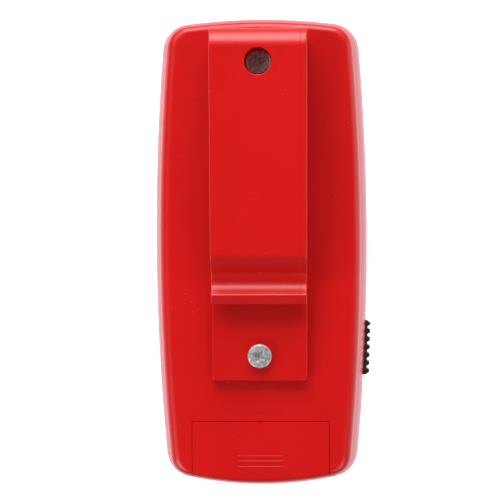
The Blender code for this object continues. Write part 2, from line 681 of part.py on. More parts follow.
def leads(red_wire, black_wire):
    """Battery leads and speaker leads, soldered to the board's rear side."""
    solder_y = ON_BOARD_Y
    plus = ((15.1, -10.9, -91.6), (14.0, -10.7, -91.5), (12.5, -10.5, -90.4), (12.3, -10.6, -87.5),
            (14.5, -12.0, -80.0), (16.8, -13.0, -68.0), (16.2, -13.6, -58.0), (15.4, -15.0, -53.6),
            (15.4, solder_y, -53.0))
    minus = ((-15.4, -10.7, -91.2), (-14.2, -10.6, -91.3), (-12.5, -10.5, -90.4), (-12.2, -10.6, -87.5),
             (-11.6, -12.4, -80.0), (-11.4, -13.2, -68.0), (-12.0, -13.8, -58.0), (-12.6, -15.0, -53.6),
             (-12.6, solder_y, -53.0))
    wire("positive_lead", smooth_route(plus, 3), LEAD_RADIUS, red_wire)
    wire("negative_lead", smooth_route(minus, 3), LEAD_RADIUS, black_wire)
    back = FRONT_FLOOR_Y + 2 * GAP + 4.9
    for name, sign, finish in (("left", -1, black_wire), ("right", 1, red_wire)):
        x = sign * 3.0
        route = ((x, back, -64.4), (x, -17.6, -64.0), (x, -15.8, -60.8), (x, -15.4, -56.6),
                 (x, -15.9, -53.6), (x, solder_y, -53.0))
        wire(f"speaker_lead_{name}", smooth_route(route, 3), LEAD_RADIUS, finish)


def main():
    """Build every piece."""
    for old in list(bpy.data.objects):
        bpy.data.objects.remove(old, do_unlink=True)
    red = Finish("red_abs", (0.60, 0.012, 0.010), 0.38)
    black = Finish("black_abs", (0.02, 0.018, 0.02), 0.5)
    board_green = Finish("circuit_board_green", (0.02, 0.12, 0.05), 0.45)
    steel = Finish("zinc_plated_steel", (0.55, 0.53, 0.50), 0.35, 1.0)
    brass = Finish("spring_brass", (0.70, 0.50, 0.20), 0.3, 1.0)
    silver = Finish("silver_grey_plastic", (0.45, 0.45, 0.46), 0.4)
    clear = Finish("red_lens", (0.70, 0.03, 0.02), 0.15)
    paper = Finish("speaker_paper", (0.03, 0.03, 0.03), 0.9)
    blue = Finish("capacitor_sleeve", (0.02, 0.05, 0.20), 0.4)
    gold = Finish("cell_sleeve", (0.45, 0.30, 0.08), 0.35)
    red_wire = Finish("red_lead", (0.55, 0.02, 0.02), 0.5)

    rear_cover(red)
    battery_door(red)
    front_cover(red)
    clip_base(red)
    clip_leaf(red)
    seat = -CLIP_INNER + GAP
    for name, z, end in (("upper", CLIP_SCREW_UPPER_Z, UPPER_SCREW_END_Y),
                         ("lower", CLIP_SCREW_LOWER_Z, LOWER_SCREW_END_Y)):
        screw(f"clip_screw_{name}", steel, (0, z), seat, end, SCREW_HEAD, SCREW_HEAD_HEIGHT, SCREW_SHANK,
              sides=20)
    for name, place in BOARD_SCREWS.items():
        screw(f"board_screw_{name}", steel, place, ON_BOARD_Y, BOARD_FRONT_Y - 4, SMALL_HEAD, 1.1, SMALL_SHANK)
    circuit_board(board_green)
    board_parts(black, steel, blue)
    switch(black, steel)
    dial(black, silver, brass, clear, steel)
    speaker(steel, paper, black)
    battery(gold, steel)
    leads(red_wire, black)


main()
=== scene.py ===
"""Pocket metronome with a belt clip: its finished pieces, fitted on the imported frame, and a studio round it.

The frame's axes: +Z up the case, +Y out of the clip side, -Y out of the dial side, all in metres.
"""
from __future__ import annotations

import json
import logging
import math
from dataclasses import dataclass, field
from enum import Enum
from typing import Any, Callable, Sequence

import bpy
from mathutils import Matrix, Vector


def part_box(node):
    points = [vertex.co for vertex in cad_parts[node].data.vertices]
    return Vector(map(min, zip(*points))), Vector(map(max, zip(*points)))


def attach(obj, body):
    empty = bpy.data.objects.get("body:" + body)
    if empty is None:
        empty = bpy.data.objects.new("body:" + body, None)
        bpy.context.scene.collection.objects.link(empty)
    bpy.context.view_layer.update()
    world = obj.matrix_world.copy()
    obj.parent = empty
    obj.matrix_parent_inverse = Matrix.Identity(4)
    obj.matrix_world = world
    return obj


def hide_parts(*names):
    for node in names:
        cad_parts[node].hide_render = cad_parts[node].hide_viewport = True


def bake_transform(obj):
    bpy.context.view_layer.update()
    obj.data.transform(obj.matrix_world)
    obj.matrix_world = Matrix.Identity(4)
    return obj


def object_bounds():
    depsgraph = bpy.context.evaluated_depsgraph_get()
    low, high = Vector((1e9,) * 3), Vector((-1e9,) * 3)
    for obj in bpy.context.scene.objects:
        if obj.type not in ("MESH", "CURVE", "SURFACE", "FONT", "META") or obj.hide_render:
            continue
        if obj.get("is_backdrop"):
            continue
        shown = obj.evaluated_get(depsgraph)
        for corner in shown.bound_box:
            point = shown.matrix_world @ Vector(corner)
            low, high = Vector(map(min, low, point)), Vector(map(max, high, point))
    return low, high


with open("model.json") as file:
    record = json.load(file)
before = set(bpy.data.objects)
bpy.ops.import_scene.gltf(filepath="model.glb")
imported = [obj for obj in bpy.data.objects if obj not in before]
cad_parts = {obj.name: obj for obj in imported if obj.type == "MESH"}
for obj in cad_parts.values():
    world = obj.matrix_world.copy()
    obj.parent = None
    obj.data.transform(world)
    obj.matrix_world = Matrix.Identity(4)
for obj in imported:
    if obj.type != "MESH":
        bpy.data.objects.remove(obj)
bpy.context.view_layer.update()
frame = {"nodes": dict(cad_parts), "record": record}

MM = 0.001
PAST = 1 * MM               # how far a cutting tool runs past the face it enters
log = logging.getLogger("metronome")
Loop = list[Vector]
Pair = tuple[float, float]
Feed = tuple[bpy.types.Node, str | int]
Links = dict[str | int, Feed]


class Axis(Enum):
    """The row's axes, by their place in a vector."""

    X = 0
    Y = 1
    Z = 2


class Fit(Enum):
    """How a tool's shape meets the piece it works on."""

    CUT = "DIFFERENCE"
    JOIN = "UNION"
    KEEP = "INTERSECT"


# ---------------------------------------------------------------- finishes
def linear(code: str) -> tuple[float, float, float, float]:
    """Turn an sRGB hex colour into linear RGBA.

    Args:
        code: Six hex digits.

    Returns:
        The colour's linear red, green and blue, with alpha 1.
    """
    parts = [int(code[k:k + 2], 16) / 255 for k in (0, 2, 4)]
    red, green, blue = [p / 12.92 if p <= 0.04045 else ((p + 0.055) / 1.055) ** 2.4 for p in parts]
    return red, green, blue, 1.0


def feed(tree: bpy.types.NodeTree, node: bpy.types.Node, links: Links) -> None:
    """Link what feeds a node.

    Args:
        tree: The material's node tree.
        node: The node that is fed.
        links: Input names with the node and output that feed them.
    """
    for name, (source, output) in links.items():
        tree.links.new(source.outputs[output], node.inputs[name])


def add_node(tree: bpy.types.NodeTree, kind: str, settings: dict[str | int, Any] | None = None,
             links: Links | None = None) -> bpy.types.Node:
    """Add a node with its settings and what feeds it.

    Args:
        tree: The material's node tree.
        kind: The node's type.
        settings: Attribute or input names with their values.
        links: Input names with the node and output that feed them.

    Returns:
        The new node.
    """
    node = tree.nodes.new(kind)
    for name, value in (settings or {}).items():
        if isinstance(name, str) and hasattr(node, name):
            setattr(node, name, value)
        else:
            node.inputs[name].default_value = value
    feed(tree, node, links or {})
    return node


def cycles(size_mm: float) -> float:
    """Turn a pattern's size in millimetres into a texture scale."""
    return 1 / (size_mm * MM)


def new_material(name: str) -> tuple[bpy.types.Material, bpy.types.NodeTree, bpy.types.Node, Feed]:
    """Start a material on its object's own coordinates.

    Args:
        name: The material's name.

    Returns:
        The material, its node tree, its shader and where its coordinates come from.
    """
    material = bpy.data.materials.new(name)
    material.use_nodes = True
    tree = material.node_tree
    return material, tree, tree.nodes["Principled BSDF"], (add_node(tree, "ShaderNodeTexCoord"), "Object")


@dataclass(frozen=True)
class MouldedPlastic:
    """Injection-moulded plastic: even colour, a slight orange peel, flow mottling and a few dust specks."""

    name: str
    colour: str
    mottle: str
    roughness: float
    specks: str = ""
    ior: float = 1.53
    peel_mm: float = 0.9
    peel_depth_mm: float = 0.004
    grain_mm: float = 0.12
    grain_depth_mm: float = 0.0012
    mottle_mm: float = 22.0
    polish_mm: float = 6.0
    speck_mm: float = 1.6

    def material(self) -> bpy.types.Material:
        """Build the plastic's material.

        Returns:
            The material.
        """
        material, tree, shader, at = new_material(self.name)
        patterns = {"flow": (self.mottle_mm, 3.0), "polish": (self.polish_mm, 4.0),
                    "peel": (self.peel_mm, 1.0), "grain": (self.grain_mm, 2.0)}
        noise = {name: add_node(tree, "ShaderNodeTexNoise", {"Scale": cycles(size), "Detail": detail},
                                {"Vector": at})
                 for name, (size, detail) in patterns.items()}
        share = add_node(tree, "ShaderNodeMapRange", {"From Min": 0.35, "From Max": 0.65},
                         {"Value": (noise["flow"], "Fac")})
        colour = add_node(tree, "ShaderNodeMix",
                          {"data_type": "RGBA", 6: linear(self.colour), 7: linear(self.mottle)},
                          {"Factor": (share, "Result")})
        gloss = add_node(tree, "ShaderNodeMapRange",
                         {"To Min": self.roughness - 0.035, "To Max": self.roughness + 0.035},
                         {"Value": (noise["polish"], "Fac")})
        wave = add_node(tree, "ShaderNodeBump", {"Strength": 0.6, "Distance": self.peel_depth_mm * MM},
                        {"Height": (noise["peel"], "Fac")})
        bump = add_node(tree, "ShaderNodeBump", {"Strength": 0.6, "Distance": self.grain_depth_mm * MM},
                        {"Height": (noise["grain"], "Fac"), "Normal": (wave, "Normal")})
        surface = (colour, 2)
        if self.specks:
            surface = self.dusted(tree, at, surface)
        feed(tree, shader, {"Base Color": surface, "Roughness": (gloss, "Result"),
                            "Normal": (bump, "Normal")})
        shader.inputs["IOR"].default_value = self.ior
        return material

    def dusted(self, tree: bpy.types.NodeTree, at: Feed, clean: Feed) -> Feed:
        """Lay sparse specks of dust over a colour.

        Args:
            tree: The material's node tree.
            at: Where the coordinates come from.
            clean: Where the clean colour comes from.

        Returns:
            Where the dusty colour comes from.
        """
        dust = add_node(tree, "ShaderNodeTexVoronoi", {"Scale": cycles(self.speck_mm)}, {"Vector": at})
        near = add_node(tree, "ShaderNodeMapRange",
                        {"From Min": 0.045, "From Max": 0.09, "To Min": 1.0, "To Max": 0.0},
                        {"Value": (dust, "Distance")})
        split = add_node(tree, "ShaderNodeSeparateColor", {}, {"Color": (dust, "Color")})
        chosen = add_node(tree, "ShaderNodeMath", {"operation": "GREATER_THAN", 1: 0.9}, {0: (split, "Red")})
        mask = add_node(tree, "ShaderNodeMath", {"operation": "MULTIPLY"},
                        {0: (near, "Result"), 1: (chosen, 0)})
        faint = add_node(tree, "ShaderNodeMath", {"operation": "MULTIPLY", 1: 0.4}, {0: (mask, 0)})
        dusty = add_node(tree, "ShaderNodeMix", {"data_type": "RGBA", 7: linear(self.specks)},
                         {"Factor": (faint, 0), 6: clean})
        return dusty, 2


@dataclass(frozen=True)
class Metal:
    """Bare or plated sheet or wire: mottled plating with fine scratches."""

    name: str
    colour: str
    tarnish: str
    roughness: float
    mottle_mm: float = 0.8
    scratch_mm: float = 0.09
    scratch_depth_mm: float = 0.004

    def material(self) -> bpy.types.Material:
        """Build the metal's material.

        Returns:
            The material.
        """
        material, tree, shader, at = new_material(self.name)
        cloud = add_node(tree, "ShaderNodeTexNoise", {"Scale": cycles(self.mottle_mm), "Detail": 5.0},
                         {"Vector": at})
        colour = add_node(tree, "ShaderNodeValToRGB", {}, {"Fac": (cloud, "Fac")})
        for stop, place, code in zip(colour.color_ramp.elements, (0.3, 0.6), (self.tarnish, self.colour)):
            stop.position = place
            stop.color = linear(code)
        gloss = add_node(tree, "ShaderNodeMapRange",
                         {"To Min": self.roughness + 0.12, "To Max": self.roughness - 0.08},
                         {"Value": (cloud, "Fac")})
        scratch = add_node(tree, "ShaderNodeTexNoise", {"Scale": cycles(self.scratch_mm), "Detail": 2.0},
                           {"Vector": at})
        bump = add_node(tree, "ShaderNodeBump", {"Strength": 0.4, "Distance": self.scratch_depth_mm * MM},
                        {"Height": (scratch, "Fac")})
        shader.inputs["Metallic"].default_value = 1.0
        feed(tree, shader, {"Base Color": (colour, "Color"), "Roughness": (gloss, "Result"),
                            "Normal": (bump, "Normal")})
        return material


@dataclass(frozen=True)
class ClearPlastic:
    """Tinted clear plastic, polished, with a faint ripple left by the mould."""

    name: str
    colour: str
    roughness: float = 0.06
    transmission: float = 0.55
    ripple_mm: float = 1.2
    ripple_depth_mm: float = 0.01
    ior: float = 1.49

    def material(self) -> bpy.types.Material:
        """Build the clear plastic's material.

        Returns:
            The material.
        """
        material, tree, shader, at = new_material(self.name)
        ripple = add_node(tree, "ShaderNodeTexNoise", {"Scale": cycles(self.ripple_mm)}, {"Vector": at})
        shade = add_node(tree, "ShaderNodeMapRange", {"To Min": 0.9, "To Max": 1.1},
                         {"Value": (ripple, "Fac")})
        tint = add_node(tree, "ShaderNodeHueSaturation", {"Color": linear(self.colour)},
                        {"Value": (shade, "Result")})
        bump = add_node(tree, "ShaderNodeBump", {"Strength": 0.3, "Distance": self.ripple_depth_mm * MM},
                        {"Height": (ripple, "Fac")})
        feed(tree, shader, {"Base Color": (tint, "Color"), "Normal": (bump, "Normal")})
        shader.inputs["Roughness"].default_value = self.roughness
        shader.inputs["IOR"].default_value = self.ior
        shader.inputs["Transmission Weight"].default_value = self.transmission
        return material


@dataclass(frozen=True)
class CircuitLaminate:
    """Glass laminate under solder mask, with copper tracks that show as a paler green."""

    name: str
    mask: str
    track: str
    track_mm: float = 2.6
    track_width_mm: float = 0.25
    track_rise_mm: float = 0.03
    roughness: float = 0.35

    def material(self) -> bpy.types.Material:
        """Build the board's material.

        Returns:
            The material.
        """
        material, tree, shader, at = new_material(self.name)
        turn = add_node(tree, "ShaderNodeMapping", {"Rotation": (math.pi / 2, 0, 0)}, {"Vector": at})
        tracks = add_node(tree, "ShaderNodeTexBrick",
                          {"Scale": 1.0, "Mortar Size": self.track_width_mm * MM,
                           "Brick Width": 3 * self.track_mm * MM, "Row Height": self.track_mm * MM,
                           "Color1": linear(self.mask), "Color2": linear(self.mask),
                           "Mortar": linear(self.track)},
                          {"Vector": (turn, "Vector")})
        raised = add_node(tree, "ShaderNodeBump", {"Strength": 0.5, "Distance": self.track_rise_mm * MM},
                          {"Height": (tracks, "Fac")})
        feed(tree, shader, {"Base Color": (tracks, "Color"), "Normal": (raised, "Normal")})
        shader.inputs["Roughness"].default_value = self.roughness
        return material


class Finishes:
    """Every finish on the metronome, each built once."""

    def __init__(self) -> None:
        """Build the materials."""
        # Moulded ABS: saturated pillar-box red, satin, so it takes broad soft highlights
        self.red = MouldedPlastic("red_moulded_abs", "CA0606", "D00807", 0.33, "F0A79C").material()
        # ABS again, carbon black, a little rougher where thumbs work on it
        self.black = MouldedPlastic("black_moulded_abs", "1D1A1C", "252224", 0.42).material()
        # Pigmented ABS with a plain polish: a calm silver ground for the print
        self.grey = MouldedPlastic("silver_grey_abs", "A9AAAD", "B1B2B5", 0.36).material()
        # Screen-printing ink: flat and slightly raised, so it stays dull where the plastic shines
        self.ink = MouldedPlastic("white_print", "EDEDE8", "E3E3DE", 0.55, peel_mm=0.4).material()
        self.dark_ink = MouldedPlastic("black_print", "161616", "1D1D1D", 0.55, peel_mm=0.4).material()
        # Pressed paper pulp with a damping coat: matt, with a coarse felted grain
        self.paper = MouldedPlastic("coated_speaker_paper", "2A2826", "343230", 0.85, grain_mm=0.25,
                                    grain_depth_mm=0.02).material()
        # Zinc plating on steel: pale, dull and cloudy
        self.zinc = Metal("zinc_plated_steel", "E6E5E4", "9A9795", 0.48).material()
        # Nickel plating on spring wire: brighter and smoother than the zinc
        self.spring = Metal("nickel_plated_spring", "D6D2C8", "A8A298", 0.25).material()
        # Rolled brass sheet: yellow, with darker tarnish clouds
        self.brass = Metal("spring_brass", "D9B25F", "A9803A", 0.28).material()
        # Sintered ferrite: dark grey and dull
        self.magnet = Metal("black_ferrite", "55524F", "3A3836", 0.5).material()
        # Polished clear acrylic, dyed red: sharp highlights over a deep glow
        self.lens = ClearPlastic("clear_red_lens", "E0231C").material()
        # Solder mask over etched copper: green with slightly raised, paler tracks
        self.board = CircuitLaminate("solder_masked_laminate", "0F4A2B", "2B6E45").material()
        # Shrunk PVC sleeves: glossy, with soft ripples
        self.blue_sleeve = MouldedPlastic("capacitor_sleeve", "1B2F66", "233A78", 0.25,
                                          peel_mm=2.0).material()
        self.gold_sleeve = MouldedPlastic("cell_sleeve", "B98B3A", "C79B4B", 0.22, peel_mm=2.5).material()
        # Extruded PVC insulation: plain colour with a waxy sheen
        self.red_lead = MouldedPlastic("red_pvc_lead", "B31B1B", "BF2323", 0.4).material()
        self.black_lead = MouldedPlastic("black_pvc_lead", "1A1A1A", "222222", 0.4).material()


def middle_of(node: str) -> Vector:
    """Give the middle of a CAD node's box."""
    low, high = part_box(node)
    return (low + high) / 2


# ---------------------------------------------------------------- modelling moves
class Bench:
    """Modelling moves, each made with Blender's own operators."""

    @staticmethod
    def clear() -> None:
        """Deselect everything."""
        bpy.ops.object.select_all(action="DESELECT")

    @staticmethod
    def only(piece: bpy.types.Object) -> None:
        """Select one piece and make it active."""
        Bench.clear()
        piece.select_set(True)
        bpy.context.view_layer.objects.active = piece

    @staticmethod
    def loft(name: str, loops: Sequence[Loop], closed: bool = False, capped: bool = True) -> bpy.types.Object:
        """Skin a row of loops that have the same number of points.

        Args:
            name: The new piece's name.
            loops: The loops, from one end to the other.
            closed: Whether the last loop joins the first, as in a ring.
            capped: Whether the ends are filled.

        Returns:
            The new piece.
        """
        Bench.clear()
        rows = [*loops, loops[0]] if closed else list(loops)
        across, along = len(rows[0]), len(rows) - 1
        bpy.ops.mesh.primitive_grid_add(x_subdivisions=across, y_subdivisions=along, size=2.0)
        piece = bpy.context.object
        piece.name = name
        piece.data.name = name
        for point in piece.data.vertices:
            column = round((point.co.x + 1) / 2 * across) % across
            row = round((point.co.y + 1) / 2 * along)
            point.co = rows[row][column]
        bpy.ops.object.mode_set(mode="EDIT")
        bpy.ops.mesh.select_all(action="SELECT")
        bpy.ops.mesh.remove_doubles(threshold=0.0001 * MM)
        if capped and not closed:
            bpy.ops.mesh.fill_holes(sides=0)
        bpy.ops.mesh.select_all(action="SELECT")
        bpy.ops.mesh.normals_make_consistent(inside=False)
        bpy.ops.object.mode_set(mode="OBJECT")
        return piece

    @staticmethod
    def turned(name: str, profile: Sequence[Pair], centre: Vector, axis: Axis = Axis.Y,
               sides: int = 64, closed: bool = False, capped: bool = True,
               flute: Callable[[float, float], float] | None = None) -> bpy.types.Object:
        """Skin circles of the profile's radii along an axis.

        Args:
            name: The new piece's name.
            profile: Radius and place along the axis, in metres, from one end to the other.
            centre: A point on the axis.
            axis: The axis.
            sides: Points round each circle.
            closed: Whether the profile closes round a hole.
            capped: Whether the ends are filled.
            flute: What the radius becomes at an angle, where it isn't round.

        Returns:
            The new piece.
        """
        loops: list[Loop] = []
        first, second = [k for k in range(3) if k != axis.value]
        for radius, along in profile:
            loop: Loop = []
            for k in range(sides):
                angle = math.tau * k / sides
                reach = flute(radius, angle) if flute else radius
                point = Vector(centre)
                point[axis.value] = along
                point[first] += reach * math.cos(angle)
                point[second] += reach * math.sin(angle)
                loop.append(point)
            loops.append(loop)
        return Bench.loft(name, loops, closed, capped)

    @staticmethod
    def rod(name: str, radius: float, start: float, end: float, centre: Vector, axis: Axis = Axis.Y,
            sides: int = 64) -> bpy.types.Object:
        """Make a plain round bar along an axis, mostly as a tool."""
        return Bench.turned(name, ((radius, start), (radius, end)), centre, axis, sides)

    @staticmethod
    def block(name: str, low: Sequence[float], high: Sequence[float], rounding: float = 0.0,
              segments: int = 3) -> bpy.types.Object:
        """Make a block between two corners.

        Args:
            name: The new piece's name.
            low: Its lowest corner, in metres.
            high: Its highest corner, in metres.
            rounding: How far its edges are rounded.
            segments: Steps of the rounding.

        Returns:
            The new piece.
        """
        Bench.clear()
        middle = (Vector(low) + Vector(high)) / 2
        bpy.ops.mesh.primitive_cube_add(size=1.0, location=middle)
        piece = bpy.context.object
        piece.name = name
        piece.data.name = name
        piece.scale = Vector(high) - Vector(low)
        bpy.ops.object.transform_apply(location=True, rotation=True, scale=True)
        if rounding:
            bpy.ops.object.mode_set(mode="EDIT")
            bpy.ops.mesh.select_all(action="SELECT")
            bpy.ops.mesh.bevel(offset=rounding, segments=segments)
            bpy.ops.object.mode_set(mode="OBJECT")
        return piece

    @staticmethod
    def use(piece: bpy.types.Object, tool: bpy.types.Object, fit: Fit) -> None:
        """Work a tool's shape into a piece and put the tool away.

        Args:
            piece: The piece.
            tool: The tool.
            fit: How the tool's shape meets the piece.
        """
        Bench.only(piece)
        modifier = piece.modifiers.new("Fit", "BOOLEAN")
        modifier.operation = fit.value
        modifier.solver = "EXACT"
        modifier.object = tool
        bpy.ops.object.modifier_apply(modifier=modifier.name)
        bpy.data.objects.remove(tool, do_unlink=True)

    @staticmethod
    def work(piece: bpy.types.Object, fit: Fit, *tools: bpy.types.Object) -> None:
        """Work several tools into a piece, one after the other."""
        for tool in tools:
            Bench.use(piece, tool, fit)

    @staticmethod
    def soften(piece: bpy.types.Object, width: float, angle: float = 40.0, segments: int = 2) -> None:
        """Round a piece's sharp edges.

        Args:
            piece: The piece.
            width: How far the edges are cut back.
            angle: Only edges sharper than this, in degrees, are rounded.
            segments: Steps of the rounding.
        """
        Bench.only(piece)
        modifier = piece.modifiers.new("Soften", "BEVEL")
        modifier.width = width
        modifier.segments = segments
        modifier.limit_method = "ANGLE"
        modifier.angle_limit = math.radians(angle)
        bpy.ops.object.modifier_apply(modifier=modifier.name)

    @staticmethod
    def show(piece: bpy.types.Object, material: bpy.types.Material, body: str, slot: str,
             nodes: Sequence[str] = (), smooth: float = 32.0) -> bpy.types.Object:
        """Shade a finished piece, dress it and hang it on its body.

        Args:
            piece: The piece.
            material: What it is made of.
            body: The CAD body it rides on, or nothing for a piece that lies between two bodies and rides on
                neither.
            slot: Not used.
            nodes: The CAD nodes it stands for.
            smooth: Edges sharper than this angle, in degrees, stay crisp.

        Returns:
            The same piece.
        """
        Bench.only(piece)
        bpy.ops.object.shade_smooth_by_angle(angle=math.radians(smooth))
        weigh = piece.modifiers.new("Weigh", "WEIGHTED_NORMAL")
        weigh.keep_sharp = True
        bpy.ops.object.modifier_apply(modifier=weigh.name)
        piece.data.materials.clear()
        piece.data.materials.append(material)
        if body:
            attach(piece, body)
        if nodes:
            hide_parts(*nodes)
        log.info("%s: %d faces on %s", piece.name, len(piece.data.polygons), body)
        return piece


def sweep(centre: Pair, radius: float, start: float, end: float,
          steps: int) -> list[Pair]:
    """List the points of an arc.

    Args:
        centre: The arc's centre.
        radius: Its radius.
        start: Its first angle, in radians.
        end: Its last angle, in radians.
        steps: How many steps it takes.

    Returns:
        The points, both ends included.
    """
    angles = [start + (end - start) * k / steps for k in range(steps + 1)]
    return [(centre[0] + radius * math.cos(a), centre[1] + radius * math.sin(a)) for a in angles]


# ---------------------------------------------------------------- the case
@dataclass
class CaseShape:
    """The case's outline and sides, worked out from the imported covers' boxes.

    The outline is four large arcs and four corners. The sides bulge slightly from the parting plane, and the
    back and front edges are rounded more along the sides than at the ends.
    """

    half_width: float
    top: float
    bottom: float
    parting: float
    depth: float
    side_radius: float = 555 * MM
    widest: float = 3.3 * MM
    top_radius: float = 138 * MM
    bottom_radius: float = 83 * MM
    top_corner: float = 6.6 * MM
    bottom_corner: float = 6.4 * MM
    side_draft: float = 1.45 * MM
    end_draft: float = 1.15 * MM
    side_edge: float = 2.5 * MM
    end_edge: float = 1.5 * MM
    wall: float = 2.0 * MM
    seam: float = 0.06 * MM
    steps: tuple[int, int, int] = (7, 10, 16)

    @classmethod
    def from_frame(cls) -> "CaseShape":
        """Read the case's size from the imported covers.

        Returns:
            The case's shape.
        """
        low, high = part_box("front_cover")
        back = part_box("rear_cover")[1].y
        parting = (back + low.y) / 2
        return cls(half_width=high.x, top=high.z, bottom=low.z, parting=parting, depth=back - parting)

    @property
    def middle(self) -> float:
        """Height of the case's middle."""
        return (self.top + self.bottom) / 2

    def outline(self, side: float, end: float) -> list[tuple[float, float, float]]:
        """Work out the outline, drawn in by some at the sides and by some at the ends.

        Args:
            side: How far the two sides move in.
            end: How far the top and bottom move in.

        Returns:
            Points as x, z and how much the point belongs to a side, from 0 to 1.
        """
        sides = Vector((self.half_width - self.side_radius, self.middle + self.widest))
        top = Vector((0, self.top - self.top_radius))
        bottom = Vector((0, self.bottom + self.bottom_radius))
        inset = (side + end) / 2
        reach = self.side_radius - side
        high = self.corner(sides, reach, top, self.top_radius - end, self.top_corner - inset)
        low = self.corner(sides, reach, bottom, self.bottom_radius - end, self.bottom_corner - inset)
        bends = [math.atan2(b.y - a.y, b.x - a.x) for a, b in
                 ((bottom, low), (sides, low), (sides, high), (top, high))]
        ends, corners, flanks = self.steps
        spans = ((bottom, self.bottom_radius - end, -math.pi / 2, bends[0], ends, 0.0, 0.0),
                 (low, self.bottom_corner - inset, bends[0], bends[1], corners, 0.0, 1.0),
                 (sides, reach, bends[1], bends[2], flanks, 1.0, 1.0),
                 (high, self.top_corner - inset, bends[2], bends[3], corners, 1.0, 0.0),
                 (top, self.top_radius - end, bends[3], math.pi / 2, ends, 0.0, 0.0))
        half: list[tuple[float, float, float]] = []
        for centre, radius, start, stop, steps, first, last in spans:
            points = sweep((centre.x, centre.y), radius, start, stop, steps)
            for k, (x, z) in enumerate(points[:-1]):
                half.append((x, z, first + (last - first) * k / steps))
        half.append((0.0, self.top - end, 0.0))
        return half + [(-x, z, share) for x, z, share in half[-2:0:-1]]

    @staticmethod
    def corner(first: Vector, first_reach: float, second: Vector, second_reach: float,
               radius: float) -> Vector:
        """Find the centre of a corner that meets two arcs from inside.

        Args:
            first: The side arc's centre.
            first_reach: Its radius.
            second: The end arc's centre.
            second_reach: Its radius.
            radius: The corner's radius.

        Returns:
            The corner's centre on the +X side.
        """
        a = first_reach - radius
        b = second_reach - radius
        apart = (second - first).length
        along = (apart ** 2 + a ** 2 - b ** 2) / (2 * apart)
        off = math.sqrt(a ** 2 - along ** 2)
        way = (second - first) / apart
        middle = first + way * along
        return max((middle + Vector((way.y, -way.x)) * off, middle - Vector((way.y, -way.x)) * off),
                   key=lambda place: place.x)

    def loop(self, side: Pair, end: Pair, out: int) -> Loop:
        """Make one loop round the case.

        Args:
            side: Depth from the parting plane and inset at the sides.
            end: Depth and inset at the ends.
            out: +1 for the rear half and -1 for the front.

        Returns:
            The loop's points.
        """
        points = self.outline(side[1], end[1])
        return [Vector((x, self.parting + out * (end[0] + (side[0] - end[0]) * share), z))
                for x, z, share in points]

    def flank(self, edge: float, draft: float, proud: float = 0.0) -> list[Pair]:
        """List depth and inset from the parting plane to the flat face, down one side.

        Args:
            edge: Radius of the rounded edge.
            draft: How far the side leans in before the edge.
            proud: How far the back stands out of the case; the sides stand out by half of it.

        Returns:
            Depth and inset pairs.
        """
        bend = self.depth - edge
        points = [(self.seam, 0.12 * MM), (self.seam + 0.12 * MM, 0.0)]
        points += [(bend * share, draft * share ** 2) for share in (0.15, 0.3, 0.45, 0.6, 0.7, 0.8, 0.9)]
        points += sweep((bend, draft + edge), edge, -math.pi / 2, 0, 10)
        last = points[-1]
        points.append((last[0], last[1] + 0.6 * MM))
        return [(depth + proud * min(1.0, depth / bend), inset - proud * 0.5) for depth, inset in points]

    def cup(self, name: str, out: int, proud: float = 0.0) -> bpy.types.Object:
        """Make one half of the case as a hollow shell.

        Args:
            name: The piece's name.
            out: +1 for the rear half and -1 for the front.
            proud: How far its outside stands out of the case.

        Returns:
            The shell.
        """
        floor = self.depth - self.wall
        inset = self.side_draft + self.wall
        inner = [(floor, inset + 1.2 * MM), (floor, inset + 0.4 * MM), (floor - 0.4 * MM, inset),
                 (self.seam, self.wall)]
        loops = [self.loop(place, place, out) for place in inner]
        sides = self.flank(self.side_edge, self.side_draft, proud)
        ends = self.flank(self.end_edge, self.end_draft, proud)
        loops += [self.loop(side, end, out) for side, end in zip(sides, ends)]
        return Bench.loft(name, loops)


